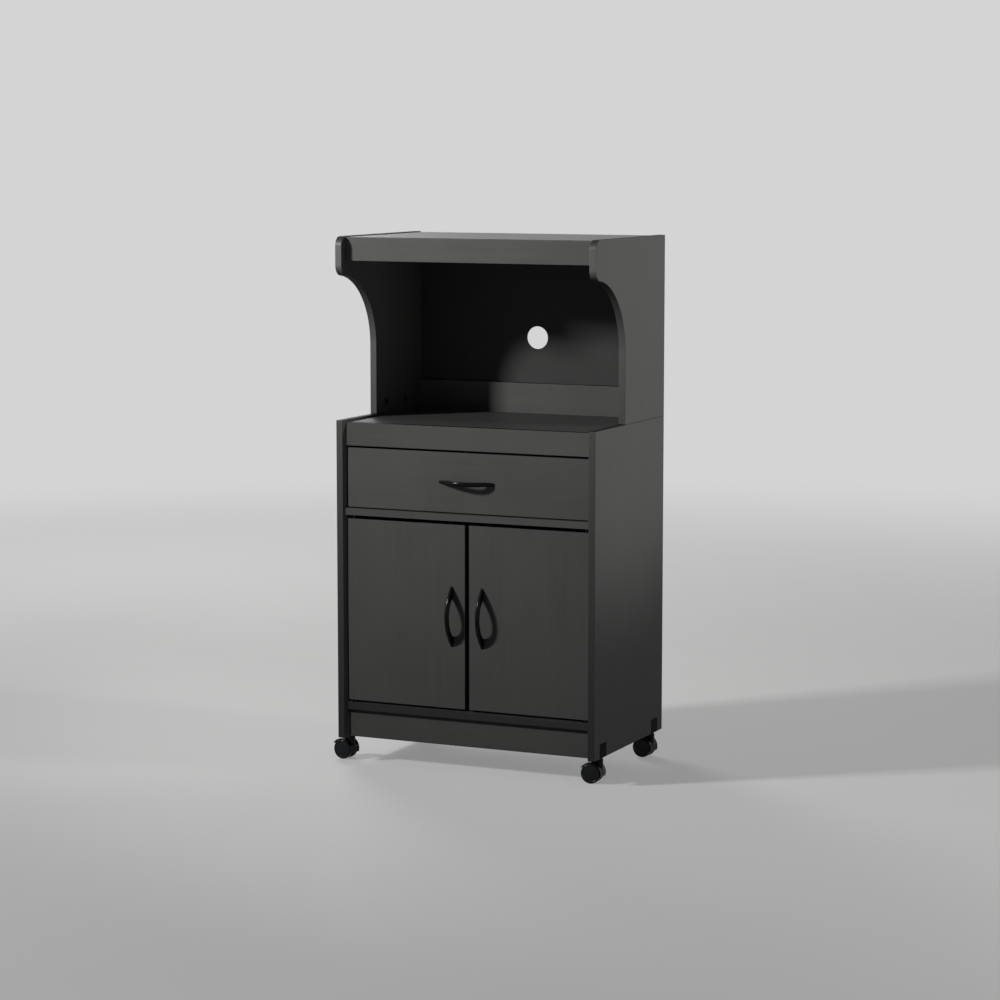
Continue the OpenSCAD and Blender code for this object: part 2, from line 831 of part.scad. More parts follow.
module caster_body() {
    color(black_plastic) difference() {
        union() {
            // web between the wheels, with a shoulder that carries the boss
            translate([-caster_trail, web_t / 2, wheel_r]) rotate([90, 0, 0]) linear_extrude(web_t) union() {
                circle(r = wheel_r - web_margin);
                square([caster_trail + boss_r - boss_step, boss_top - wheel_r - boss_step]);
            }
            translate([0, 0, wheel_r - boss_sink]) cylinder(h = boss_top - wheel_r + boss_sink, r = boss_r);
            // hood over the tops of both wheels
            at_axle() translate([0, 0, -hood_w / 2]) linear_extrude(hood_w) difference() {
                circle(r = wheel_r + hood_gap + hood_t);
                circle(r = wheel_r + hood_gap);
                hood_mouth();
            }
        }
        translate([0, 0, stem_low]) cylinder(h = floor_gap, r = stem_d / 2);
        at_axle() translate([0, 0, -web_t]) cylinder(h = 2 * web_t, d = axle_d);
        // room for the wheels beside the boss
        at_axle() for (way = [0, 1]) mirror([0, 0, way]) translate([0, 0, web_t / 2])
            cylinder(h = wheel_w + slide_fit, r = wheel_r + hood_gap);
    }
}

// What the hood leaves open, from low in front round the floor to high behind
module hood_mouth() {
    far = 3 * wheel_r;
    front_end = far * [cos(hood_front_angle), sin(hood_front_angle)];
    rear_end = far * [cos(hood_rear_angle), sin(hood_rear_angle)];
    polygon([[0, 0], front_end, [far, -far], [-far, -far], rear_end]);
}

module caster_pins() {
    axle_l = web_t + 2 * (wheel_w - axle_inset);
    stem_top = floor_gap + socket_bore - stem_end_gap;
    color(dark_steel) {
        translate([0, 0, stem_low]) cylinder(h = stem_top - stem_low, d = stem_d);
        translate([0, 0, boss_top]) cylinder(h = stem_flange_t, r = stem_d / 2 + stem_flange);
        at_axle() translate([0, 0, -axle_l / 2]) cylinder(h = axle_l, d = axle_d);
    }
}

// One wheel: a rounded tread, a dished outer face and a hub, turned about its axle
module caster_wheel(way) {
    color(black_plastic) at_axle() scale([1, 1, way]) translate([0, 0, web_t / 2])
        rotate_extrude($fn = 64) wheel_section();
}

// Half section of a wheel, its inner face at the web
module wheel_section() {
    rim_t = 3.2;
    round_r = 3;
    dish = 2.2;
    hollow = 4;
    hub_wall = 3;
    bore_r = axle_d / 2 + run_fit;
    hub_r = axle_d / 2 + hub_wall;
    wide = wheel_w - slide_fit;
    translate([0, slide_fit]) difference() {
        union() {
            translate([bore_r, 0]) square([wheel_r - bore_r, wide - round_r]);
            translate([bore_r, 0]) square([wheel_r - bore_r - round_r, wide]);
            translate([wheel_r - round_r, wide - round_r]) circle(r = round_r, $fn = 32);
        }
        // hollow back between rim and hub
        translate([hub_r, -over]) square([wheel_r - rim_t - hub_r, hollow + over]);
        // dished face
        translate([hub_r, wide - dish]) square([wheel_r - rim_t - round_r / 2 - hub_r, dish + over]);
    }
}

base_side(-1);  // base_side_left
base_side(1);  // base_side_right
worktop();
worktop_fascia();
middle_panel();
bottom_panel();
toe_kick();
base_back_panel();
cupboard_shelf();
shelf_pins();
hutch_side(-1);  // hutch_side_left
hutch_side(1);  // hutch_side_right
hutch_top();
hutch_fascia();
hutch_back_panel();
hutch_back_rail();
cam_locks();
cam_bolts();
runner(-1);  // runner_left
runner(1);  // runner_right
runner_screws();
caster_sockets();
hinge_bushes();
door_catch();
catch_magnets();
drawer_front();
drawer_side(-1);  // drawer_side_left
drawer_side(1);  // drawer_side_right
drawer_back();
drawer_bottom();
drawer_cam_locks();
drawer_cam_bolts();
drawer_handle();
drawer_handle_screws();
door(-1);  // door_left
pivot_pins(-1);  // door_left_pivot_pins
strike_plate(-1);  // door_left_strike
door_handle(-1);  // door_left_handle
door_handle_screws(-1);  // door_left_handle_screws
door(1);  // door_right
pivot_pins(1);  // door_right_pivot_pins
strike_plate(1);  // door_right_strike
door_handle(1);  // door_right_handle
door_handle_screws(1);  // door_right_handle_screws
at_caster(-1, -1, turn_front_left) caster_body();  // front_left_caster_body
at_caster(-1, -1, turn_front_left) caster_pins();  // front_left_caster_pins
at_caster(-1, -1, turn_front_left) caster_wheel(1);  // front_left_wheel_a
at_caster(-1, -1, turn_front_left) caster_wheel(-1);  // front_left_wheel_b
at_caster(1, -1, turn_front_right) caster_body();  // front_right_caster_body
at_caster(1, -1, turn_front_right) caster_pins();  // front_right_caster_pins
at_caster(1, -1, turn_front_right) caster_wheel(1);  // front_right_wheel_a
at_caster(1, -1, turn_front_right) caster_wheel(-1);  // front_right_wheel_b
at_caster(-1, 1, turn_rear_left) caster_body();  // rear_left_caster_body
at_caster(-1, 1, turn_rear_left) caster_pins();  // rear_left_caster_pins
at_caster(-1, 1, turn_rear_left) caster_wheel(1);  // rear_left_wheel_a
at_caster(-1, 1, turn_rear_left) caster_wheel(-1);  // rear_left_wheel_b
at_caster(1, 1, turn_rear_right) caster_body();  // rear_right_caster_body
at_caster(1, 1, turn_rear_right) caster_pins();  // rear_right_caster_pins
at_caster(1, 1, turn_rear_right) caster_wheel(1);  // rear_right_wheel_a
at_caster(1, 1, turn_rear_right) caster_wheel(-1);  // rear_right_wheel_b
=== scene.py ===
# %% [markdown]
# A kitchen cabinet on casters
#
# The real object is a dark grey cabinet of laminated chipboard: a drawer over a cupboard with two
# doors, an open bay above the worktop, and four twin-wheel casters. Its engineering model is already
# packed, with every board, screw and wheel as a node that rides on a body. This script keeps that
# model as a fixed frame and gives it its looks. The boards could stay as they come, but a real board
# has softened edges and a separate edge band that catch the light, so the boards that show are made
# anew on the boxes of their nodes, and so are the bow handles and the wheels. The other fittings
# keep their engineering shape.

import json
import math

import bpy
import numpy as np
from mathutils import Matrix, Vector
from mathutils.geometry import tessellate_polygon

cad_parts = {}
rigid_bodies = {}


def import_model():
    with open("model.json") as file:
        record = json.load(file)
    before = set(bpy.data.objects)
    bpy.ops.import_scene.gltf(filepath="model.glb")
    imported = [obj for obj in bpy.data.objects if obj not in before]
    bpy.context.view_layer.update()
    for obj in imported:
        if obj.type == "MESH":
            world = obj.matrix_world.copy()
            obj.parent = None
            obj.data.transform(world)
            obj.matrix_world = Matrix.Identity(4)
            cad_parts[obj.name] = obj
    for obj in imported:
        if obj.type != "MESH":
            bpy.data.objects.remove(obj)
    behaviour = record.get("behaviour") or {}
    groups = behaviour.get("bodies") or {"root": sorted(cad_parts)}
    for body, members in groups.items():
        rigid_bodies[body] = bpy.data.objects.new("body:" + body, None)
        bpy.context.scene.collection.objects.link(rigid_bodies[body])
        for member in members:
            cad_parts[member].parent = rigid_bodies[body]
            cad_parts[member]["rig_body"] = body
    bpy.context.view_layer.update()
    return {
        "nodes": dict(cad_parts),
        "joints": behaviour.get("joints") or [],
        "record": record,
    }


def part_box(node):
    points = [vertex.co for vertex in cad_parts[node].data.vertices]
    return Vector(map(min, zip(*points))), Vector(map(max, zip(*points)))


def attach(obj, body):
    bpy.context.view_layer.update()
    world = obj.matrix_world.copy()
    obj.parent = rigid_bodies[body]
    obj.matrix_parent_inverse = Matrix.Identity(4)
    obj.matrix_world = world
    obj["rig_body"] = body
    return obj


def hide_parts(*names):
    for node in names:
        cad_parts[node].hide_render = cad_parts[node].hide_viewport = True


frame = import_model()
MM = 0.001

# %% [markdown]
# Surfaces from grids
#
# A surface can be modelled by hand or worked out. Here most shapes are a grid of points, rows by
# columns, computed as one array. Only the order of the corners of each small face is left to
# decide, and it has to run the same way everywhere, so that all faces point out of the solid.

# %% Faces of a grid
def grid_faces(rows, columns, wrap_rows=False, wrap_columns=False):
    """Corner numbers of the quads between neighbouring points of a grid. Point (i, j) has the number
    i * columns + j. A wrapped direction joins its last line to its first one."""
    i = np.arange(rows if wrap_rows else rows - 1)
    j = np.arange(columns if wrap_columns else columns - 1)
    i, j = np.meshgrid(i, j, indexing="ij")
    next_i = (i + 1) % rows
    next_j = (j + 1) % columns
    corners = [i * columns + j, i * columns + next_j, next_i * columns + next_j, next_i * columns + j]
    return np.stack(corners, axis=-1).reshape(-1, 4)


print("faces of a grid of 3 by 4 points:", len(grid_faces(3, 4)))

# %% [markdown]
# A piece of the scene
#
# Blender keeps a mesh as flat lists: points, faces, one material number and one smooth mark for each
# face. Filling the lists straight from arrays is quick and repeatable. The object stays at the
# origin with its place in its mesh, as the nodes of the frame do, rides on its body, takes its
# finishes, and hides the nodes that it stands for.

# %% Make a piece
def make_piece(name, points, faces, finishes, body, nodes=(), finish_of_face=0, smooth=True):
    """A mesh object of these points and faces. finish_of_face and smooth are one value for all faces
    or one for each."""
    mesh = bpy.data.meshes.new(name)
    mesh.from_pydata(np.asarray(points, float).tolist(), [], [list(map(int, face)) for face in faces])
    count = len(mesh.polygons)
    mesh.polygons.foreach_set("material_index", np.broadcast_to(finish_of_face, count).astype(np.int32))
    mesh.polygons.foreach_set("use_smooth", np.broadcast_to(smooth, count).astype(bool))
    for finish in finishes:
        mesh.materials.append(finish)
    mesh.update()
    piece = bpy.data.objects.new(name, mesh)
    bpy.context.scene.collection.objects.link(piece)
    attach(piece, body)
    if nodes:
        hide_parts(*nodes)
    return piece


# %% [markdown]
# Shader maths as plain Python
#
# A material is a graph of small nodes. Wiring it by hand takes five lines for each sum, so a small
# class wraps a node's output and overloads the operators: writing 1 - mask adds the Math node that
# subtracts. Any other node comes from one method that sets its options first and then its sockets.
# The same class serves the world, whose light is a graph of nodes too.

# %% Sockets with operators
class Socket:
    """The output of a node, on which Python's arithmetic builds Math nodes."""

    def __init__(self, finish, link):
        self.finish = finish
        self.link = link

    def math(self, operation, *values):
        """A Math node with this operation on these values or sockets."""
        return self.finish.add("ShaderNodeMath", {"operation": operation}, dict(enumerate(values)))

    def __add__(self, other):
        return self.math("ADD", self, other)

    def __sub__(self, other):
        return self.math("SUBTRACT", self, other)

    def __rsub__(self, other):
        return self.math("SUBTRACT", other, self)

    def __mul__(self, other):
        return self.math("MULTIPLY", self, other)

    def __gt__(self, other):
        return self.math("GREATER_THAN", self, other)

    def __lt__(self, other):
        return self.math("LESS_THAN", self, other)

    def __abs__(self):
        return self.math("ABSOLUTE", self)

    __radd__ = __add__
    __rmul__ = __mul__


print("methods of a socket:", sum(callable(method) for method in vars(Socket).values()))

# %% A finish and its nodes
class Finish:
    """A material, or the world as owner, being made from nodes, with one method for every kind."""

    def __init__(self, name, owner=None):
        self.owner = owner or bpy.data.materials.new(name)
        self.owner.use_nodes = True
        self.tree = self.owner.node_tree
        self.tree.nodes.clear()
        self.place = self.add("ShaderNodeTexCoord", out="Object")

    def add(self, kind, settings=None, values=None, out=0):
        """A node of this kind, with its options, its input sockets and the output that is used."""
        node = self.tree.nodes.new(kind)
        for key, value in (settings or {}).items():
            setattr(node, key, value)
        for key, value in (values or {}).items():
            if isinstance(value, Socket):
                self.tree.links.new(value.link, node.inputs[key])
            else:
                node.inputs[key].default_value = value
        return Socket(self, node.outputs[out]) if node.outputs else node

    def noise(self, scale, stretch=(1, 1, 1), detail=2.0, roughness=0.5, shift=(0, 0, 0)):
        """Smooth noise about 0.5, with features of about 1 / scale metres, longer where stretch is
        small."""
        values = {"Vector": self.place, "Scale": stretch, "Location": shift}
        place = self.add("ShaderNodeMapping", {}, values)
        values = {"Vector": place, "Scale": scale, "Detail": detail, "Roughness": roughness}
        return self.add("ShaderNodeTexNoise", {"noise_dimensions": "3D"}, values, "Fac")

    def remap(self, value, low, high, new_low=0.0, new_high=1.0):
        """value from low..high carried to new_low..new_high and held there."""
        values = {"Value": value, "From Min": low, "From Max": high}
        values.update({"To Min": new_low, "To Max": new_high})
        return self.add("ShaderNodeMapRange", {"clamp": True}, values)

    def blend(self, mask, below, above):
        """The colour below where mask is 0 and above where it is 1."""
        settings = {"data_type": "RGBA", "clamp_factor": True}
        return self.add("ShaderNodeMix", settings, {0: mask, 6: below, 7: above}, 2)

    def bump(self, height, distance, strength=1.0):
        """The normal of a surface that height, from 0 to 1, raises by up to distance."""
        values = {"Height": height, "Distance": distance, "Strength": strength}
        return self.add("ShaderNodeBump", {}, values)

    def surface(self, **values):
        """Ends the material with a Principled shader; underscores in names stand for spaces."""
        sockets = {key.replace("_", " "): value for key, value in values.items()}
        shader = self.add("ShaderNodeBsdfPrincipled", {}, sockets)
        return self.end(shader)

    def end(self, shader, output="ShaderNodeOutputMaterial"):
        """Sends the shader to the output, and gives back the finished owner."""
        self.add(output, {}, {"Surface": shader})
        return self.owner


def rgb(red, green, blue):
    """A colour socket's value from linear red, green and blue."""
    return (red, green, blue, 1.0)


BLACK = rgb(0.0, 0.0, 0.0)
WHITE = rgb(1.0, 1.0, 1.0)
print("black and white:", BLACK, WHITE)

# %% [markdown]
# The laminate
#
# The boards are chipboard under a charcoal melamine skin, pressed against a plate that leaves a
# very fine satin relief with faint streaks along the board. One flat colour would look like card.
# Three layers of noise make it: long streaks shift the tone a little, a broad mottle keeps
# large faces from looking printed, and fine pores roughen the gloss and dent the surface by
# hundredths of a millimetre. The streaks run up the sides and doors, and across the level boards.
# The worktop is a duller sheet whose darker tone is painted shade, and the top board a glossier one.
#
# The boards' edges carry a paper strip of their own. It could share the laminate, but it is duller,
# and in the photograph it is bright at the top and dark near the floor, so its tone follows height,
# as painted shade near the floor and a painted highlight at the top. Edges that face up or down
# get painted shade as well.

# %% Laminate finishes
CHARCOAL = (0.067, 0.067, 0.065)
LAMINATE_ROUGHNESS = 0.40
LAMINATE_REFLECTION = 0.05
STREAK_LENGTH = 0.035
PORE_LENGTH = 0.2
TONE_SPREAD = 0.09
PORE_DEPTH = 0.05 * MM


def shade(colour, share):
    """A colour made darker or lighter by a share."""
    return rgb(*[channel * share for channel in colour])


def laminate(name, along, share=1.0, reflection=LAMINATE_REFLECTION):
    """Charcoal laminate whose streaks run along axis 0, 1 or 2, its tone a share of the charcoal."""
    finish = Finish(name)
    stretch = [1.0, 1.0, 1.0]
    stretch[along] = STREAK_LENGTH
    pore_stretch = [PORE_LENGTH if axis == along else 1.0 for axis in range(3)]
    streaks = finish.noise(scale=420.0, stretch=stretch, detail=3.0, roughness=0.6)
    wide_streaks = finish.noise(scale=60.0, stretch=stretch, shift=(3, 5, 7))
    mottle = finish.noise(scale=7.0, shift=(11, 2, 5))
    pores = finish.noise(scale=2600.0, stretch=pore_stretch, roughness=0.6)
    tone = finish.remap(streaks * 0.4 + wide_streaks * 0.25 + mottle * 0.35, low=0.34, high=0.66)
    dark, light = shade(CHARCOAL, (1 - TONE_SPREAD) * share), shade(CHARCOAL, (1 + TONE_SPREAD) * share)
    colour = finish.blend(tone, dark, light)
    smoothest, roughest = LAMINATE_ROUGHNESS - 0.05, LAMINATE_ROUGHNESS + 0.07
    gloss = finish.remap(pores * 0.6 + mottle * 0.4, 0.3, 0.7, smoothest, roughest)
    relief = finish.bump(pores * 0.7 + streaks * 0.3, distance=PORE_DEPTH, strength=0.8)
    return finish.surface(Base_Color=colour, Roughness=gloss, Normal=relief, Specular_IOR_Level=reflection)


upright = laminate("laminate_upright", along=2)
level = laminate("laminate_level", along=0)
# The worktop's darker tone is painted shade.
shaded_worktop = laminate("laminate_worktop", along=0, share=0.63, reflection=0.06)
bright_top = laminate("laminate_top", along=0, reflection=0.26)
print("laminates:", upright.name, level.name, shaded_worktop.name, bright_top.name)

# %% Edge band
# The band's tone rises with height: painted shade near the floor and a painted highlight at the top.
BAND_LOW = (0.10, 0.06)
BAND_MIDDLE = (0.78, 0.52)
BAND_HIGH = (1.08, 0.78)
BAND_GLAZE = 0.5
# The share of the tone left on edges that face up or down is painted shade.
LEVEL_SHARE = 0.35


def edge_band(name):
    """The strip on a board's edge: a tone, as a share of the laminate's, that rises with height
    through the pairs (height, share) BAND_LOW, BAND_MIDDLE and BAND_HIGH, as painted shade near the
    floor and a painted highlight at the top. Upright edges have a thin glaze besides. Edges that
    face up or down have no glaze, and only LEVEL_SHARE of the tone, which is painted shade."""
    finish = Finish(name)
    grain = finish.noise(scale=900.0)
    mottle = finish.noise(scale=9.0)
    height = finish.add("ShaderNodeSeparateXYZ", {}, {0: finish.place}, "Z")
    normal = finish.add("ShaderNodeNewGeometry", out="Normal")
    facing_up = finish.add("ShaderNodeSeparateXYZ", {}, {0: normal}, "Z")
    level_share = abs(facing_up)
    # Painted shade low down and a painted highlight high up, by height.
    rise = finish.remap(height, BAND_LOW[0], BAND_MIDDLE[0], BAND_LOW[1], BAND_MIDDLE[1])
    rise = rise + finish.remap(height, BAND_MIDDLE[0], BAND_HIGH[0], 0.0, BAND_HIGH[1] - BAND_MIDDLE[1])
    # Edges that face up or down are darkened: painted shade.
    painted_level_shade = finish.remap(level_share, low=0.2, high=1.0, new_low=1.0, new_high=LEVEL_SHARE)
    tone = rise * painted_level_shade * (0.9 + mottle * 0.2) * 0.5
    colour = finish.blend(tone, BLACK, shade(CHARCOAL, 2.0))
    gloss = finish.remap(grain, low=0.3, high=0.7, new_low=0.52, new_high=0.64)
    glaze = finish.remap(level_share, low=0.25, high=0.8, new_low=BAND_GLAZE, new_high=0.0)
    relief = finish.bump(grain, distance=0.02 * MM, strength=0.7)
    return finish.surface(Base_Color=colour, Roughness=gloss, Normal=relief, Specular_IOR_Level=0.05,
                          Coat_Weight=glaze, Coat_Roughness=0.42)


banding = edge_band("edge_band")
print("edge band:", banding.name)

# %% [markdown]
# Hardboard and drawer foil
#
# The back panels are thin hardboard, foiled dark on the side that shows and raw brown behind. The
# foil's dark tone is partly painted shade of the bay. Two pieces could carry two finishes, but a
# real panel is one piece, so its material looks at where a point lies along Y: in front of the
# panel's core it is foil, and behind that brown fibres. The drawer's boards are wrapped in a plain
# foil with a faint linen relief.

# %% Hardboard and foil
RAW_DARK = rgb(0.105, 0.052, 0.022)
RAW_LIGHT = rgb(0.24, 0.13, 0.062)


def hardboard(name, y_split):
    """Thin hardboard: dark foil where Y is below y_split, raw brown fibres behind it."""
    finish = Finish(name)
    depth = finish.add("ShaderNodeSeparateXYZ", {}, {0: finish.place}, "Y")
    behind = depth > y_split
    fibres = finish.noise(scale=700.0, stretch=(1, 1, 0.4), detail=4.0, roughness=0.65)
    clouds = finish.noise(scale=14.0, detail=3.0, shift=(4, 1, 9))
    # The foil's dark tone is partly painted shade.
    foil = finish.blend(clouds, shade(CHARCOAL, 0.42), shade(CHARCOAL, 0.52))
    raw = finish.blend(fibres * 0.6 + clouds * 0.4, RAW_DARK, RAW_LIGHT)
    colour = finish.blend(behind, foil, raw)
    gloss = finish.remap(behind, low=0.0, high=1.0, new_low=0.62, new_high=0.85)
    relief = finish.bump(fibres, distance=0.06 * MM, strength=0.7)
    return finish.surface(Base_Color=colour, Roughness=gloss, Normal=relief, Specular_IOR_Level=0.1)


def foil_board(name):
    """The drawer box's wrapped boards, plain dark grey with a faint linen relief."""
    finish = Finish(name)
    weave = finish.noise(scale=1800.0, stretch=(1, 0.25, 1))
    mottle = finish.noise(scale=10.0)
    colour = finish.blend(mottle, shade(CHARCOAL, 0.62), shade(CHARCOAL, 0.78))
    gloss = finish.remap(weave, low=0.3, high=0.7, new_low=0.42, new_high=0.54)
    relief = finish.bump(weave, distance=0.05 * MM, strength=0.7)
    return finish.surface(Base_Color=colour, Roughness=gloss, Normal=relief)


back_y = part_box("hutch_back_panel")[0].y
back_board = hardboard("hardboard_back", back_y + 0.5 * MM)
drawer_board = foil_board("drawer_foil")
print("front of the back panel at Y =", round(back_y, 4))

# %% [markdown]
# Metal, lacquer and plastics
#
# Screws, shelf pins, plates and the drawer's fittings are zinc with a soft brushed gloss. The
# boards' cam locks, the door pivots and the casters' pins are dark steel, a tone that is partly
# painted shade. The handles are lacquered a deep gloss black, which shows the faint waves that
# sprayed lacquer dries with. Casters, sockets, runners and catch are moulded from black plastic with
# a fine spark texture, and the wheels' own plastic is a little bluer. Each could have a material of
# its own, wired by hand, but they differ in numbers alone, so one function makes each family.

# %% Metal and lacquer
def metal(name, colour, roughness, spread, scale):
    """Plated metal with fine brushing and cloudy changes of gloss."""
    finish = Finish(name)
    brushing = finish.noise(scale=scale, stretch=(1, 0.15, 1), detail=3.0, roughness=0.6)
    clouds = finish.noise(scale=120.0, detail=3.0)
    tint = finish.blend(clouds, shade(colour, 0.82), shade(colour, 1.08))
    gloss = finish.remap(brushing * 0.6 + clouds * 0.4, 0.3, 0.7, roughness - spread, roughness + spread)
    relief = finish.bump(brushing, distance=0.02 * MM, strength=0.6)
    return finish.surface(Base_Color=tint, Metallic=1.0, Roughness=gloss, Normal=relief)


def lacquer(name):
    """Gloss black lacquer on metal, deep black with a faint orange peel and fine dust in the gloss."""
    finish = Finish(name)
    peel = finish.noise(scale=340.0)
    dust = finish.noise(scale=2400.0, roughness=0.6)
    colour = finish.blend(peel, rgb(0.0012, 0.0012, 0.0013), rgb(0.003, 0.003, 0.0033))
    gloss = finish.remap(dust, low=0.35, high=0.7, new_low=0.17, new_high=0.23)
    relief = finish.bump(peel, distance=0.02 * MM, strength=0.5)
    return finish.surface(Base_Color=colour, Roughness=gloss, Normal=relief, Specular_IOR_Level=0.09)


zinc = metal("zinc", (0.62, 0.62, 0.60), roughness=0.34, spread=0.08, scale=900.0)
# The dark steel's tone is partly painted shade.
dark_steel = metal("dark_steel", (0.035, 0.035, 0.035), roughness=0.45, spread=0.08, scale=900.0)
handle_black = lacquer("black_lacquer")
print("metals and lacquer:", zinc.name, dark_steel.name, handle_black.name)

# %% Plastics
def plastic(name, colour, roughness, scale, relief, reflection):
    """Moulded plastic: a spark-textured surface of that grain and depth, unevenly polished by
    handling."""
    finish = Finish(name)
    grain = finish.noise(scale=scale, roughness=0.6)
    rubbed = finish.noise(scale=38.0, detail=3.0, roughness=0.55, shift=(6, 3, 1))
    tint = finish.blend(rubbed, shade(colour, 0.85), shade(colour, 1.2))
    gloss = finish.remap(grain * 0.5 + rubbed * 0.5, 0.3, 0.7, roughness - 0.07, roughness + 0.09)
    return finish.surface(Base_Color=tint, Roughness=gloss, Normal=finish.bump(grain, relief, 0.7),
                          Specular_IOR_Level=reflection)


socket_plastic = plastic("black_moulding", (0.004, 0.004, 0.0043), roughness=0.5, scale=2200.0,
                         relief=0.03 * MM, reflection=0.02)
caster_plastic = plastic("caster_moulding", (0.004, 0.004, 0.0045), roughness=0.24, scale=1800.0,
                         relief=0.02 * MM, reflection=0.1)
wheel_plastic = plastic("wheel_moulding", (0.006, 0.0073, 0.0095), roughness=0.24, scale=1400.0,
                        relief=0.02 * MM, reflection=0.16)
print("plastics:", socket_plastic.name, caster_plastic.name, wheel_plastic.name)

# %% A finish for each slot of the record
finishes = {
    "back_board": back_board,
    "drawer_board": drawer_board,
    "zinc_fittings": zinc,
    "dark_fittings": dark_steel,
    "black_handle": handle_black,
    "black_plastic": socket_plastic,
    "caster_plastic": caster_plastic,
    "wheel_plastic": wheel_plastic,
    "laminate": upright,
}
print("slots with a finish:", sorted(finishes))

# %% [markdown]
# A board's outline
#
# Even a plain board has corners that were sanded or milled round. An outline is a list of corner
# points with a radius at each. Where two straight runs meet, the arc starts at a distance from the
# corner of the radius times the tangent of half the turn, and its centre lies one radius to the
# side that the outline turns to. Two extra points hold the straight runs flat next to each arc.

# %% Outline with rounded corners
HOLD = 0.4 * MM


def arc_outline(corners, radii, steps):
    """The closed outline through these corners, counterclockwise, with an arc of its own radius and
    number of steps at each. The arc is the start point carried round its centre by the turn."""
    corners = np.asarray(corners, float)
    radii = np.broadcast_to(radii, len(corners)).astype(float)
    steps = np.broadcast_to(steps, len(corners))
    ahead = np.roll(corners, -1, axis=0) - corners
    ahead /= np.linalg.norm(ahead, axis=1)[:, None]
    behind = np.roll(ahead, 1, axis=0)
    turn = np.arctan2(behind[:, 0] * ahead[:, 1] - behind[:, 1] * ahead[:, 0], (behind * ahead).sum(axis=1))
    reach = radii * np.tan(np.abs(turn) / 2)
    left = np.stack([-behind[:, 1], behind[:, 0]], axis=1)
    start = corners - behind * reach[:, None]
    end = corners + ahead * reach[:, None]
    centre = start + left * (np.sign(turn) * radii)[:, None]
    run = np.linalg.norm(np.roll(start, -1, axis=0) - end, axis=1)
    pieces = []
    for k in range(len(corners)):
        angle = turn[k] * np.linspace(0, 1, steps[k] + 1)[:, None]
        spoke = start[k] - centre[k]
        across = np.array([-spoke[1], spoke[0]])
        arc = centre[k] + spoke * np.cos(angle) + across * np.sin(angle)
        straight_before = run[k - 1] > 3 * HOLD
        straight_after = run[k] > 3 * HOLD
        pieces.append(arc[:1] - behind[k] * HOLD if straight_before else arc[:0])
        pieces.append(arc if straight_before else arc[1:])
        pieces.append(arc[-1:] + ahead[k] * HOLD if straight_after else arc[:0])
    return np.concatenate(pieces)


square = arc_outline([(0, 0), (1, 0), (1, 1), (0, 1)], radii=0.1, steps=4)
print("points of a square with rounded corners:", len(square))

# %% Outline moved inwards
def shrunk(outline, inset):
    """The outline moved inwards by inset: each point goes against the sum of its two edges' normals,
    divided by one plus their dot product, which keeps both edges at that distance."""
    ahead = np.roll(outline, -1, axis=0) - outline
    ahead /= np.linalg.norm(ahead, axis=1)[:, None]
    normal = np.stack([ahead[:, 1], -ahead[:, 0]], axis=1)
    before = np.roll(normal, 1, axis=0)
    share = 1 + (normal * before).sum(axis=1)
    return outline - inset * (normal + before) / share[:, None]


print("width of the square, moved in by a tenth:", round(float(np.ptp(shrunk(square, 0.1)[:, 0])), 3))

# %% [markdown]
# A board
#
# The board is its outline carried through its thickness. The rim isn't square: a quarter circle of
# under a millimetre, the arris, joins each face to the edge, and it is what draws the bright
# line along a real board. The two faces are filled with triangles, round the blind bores that
# its cam locks sit in. Faces take the laminate and the rim takes the edge band.

# %% Rim of a board
ARRIS = 0.7 * MM
ARRIS_POINTS = 5


def rim_profile(thickness):
    """Rows of the rim as (depth, inset): for an angle from 0 to 90 degrees, the inset is the arris
    times one minus its sine, and the depth the arris times one minus its cosine."""
    angle = np.linspace(0, np.pi / 2, ARRIS_POINTS)
    depth = np.concatenate([[0], ARRIS * (1 - np.cos(angle)), [ARRIS + HOLD]])
    inset = np.concatenate([[ARRIS + HOLD], ARRIS * (1 - np.sin(angle)), [0]])
    return np.concatenate([depth, thickness - depth[::-1]]), np.concatenate([inset, inset[::-1]])


print("rows of the rim of a 15 mm board:", len(rim_profile(15 * MM)[0]))

# %% Face of a board
def fill(loops):
    """Triangles between an outer loop and its holes, all turned counterclockwise."""
    flat = np.concatenate(loops)
    triangles = tessellate_polygon([[Vector((x, y, 0)) for x, y in loop] for loop in loops])
    triangles = np.array(triangles)
    a, b, c = flat[triangles[:, 0]], flat[triangles[:, 1]], flat[triangles[:, 2]]
    area = (b[:, 0] - a[:, 0]) * (c[:, 1] - a[:, 1]) - (b[:, 1] - a[:, 1]) * (c[:, 0] - a[:, 0])
    return triangles if area.sum() > 0 else triangles[:, ::-1]


print("triangles that fill the square:", len(fill([square])))

# %% Solid board from an outline
BORE_POINTS = 32


def on_axis(flat, depth, axis):
    """Points from pairs in the plane across an axis and their place along it."""
    points = np.empty((len(flat), 3))
    points[:, axis] = depth
    points[:, (axis + 1) % 3] = flat[:, 0]
    points[:, (axis + 2) % 3] = flat[:, 1]
    return points


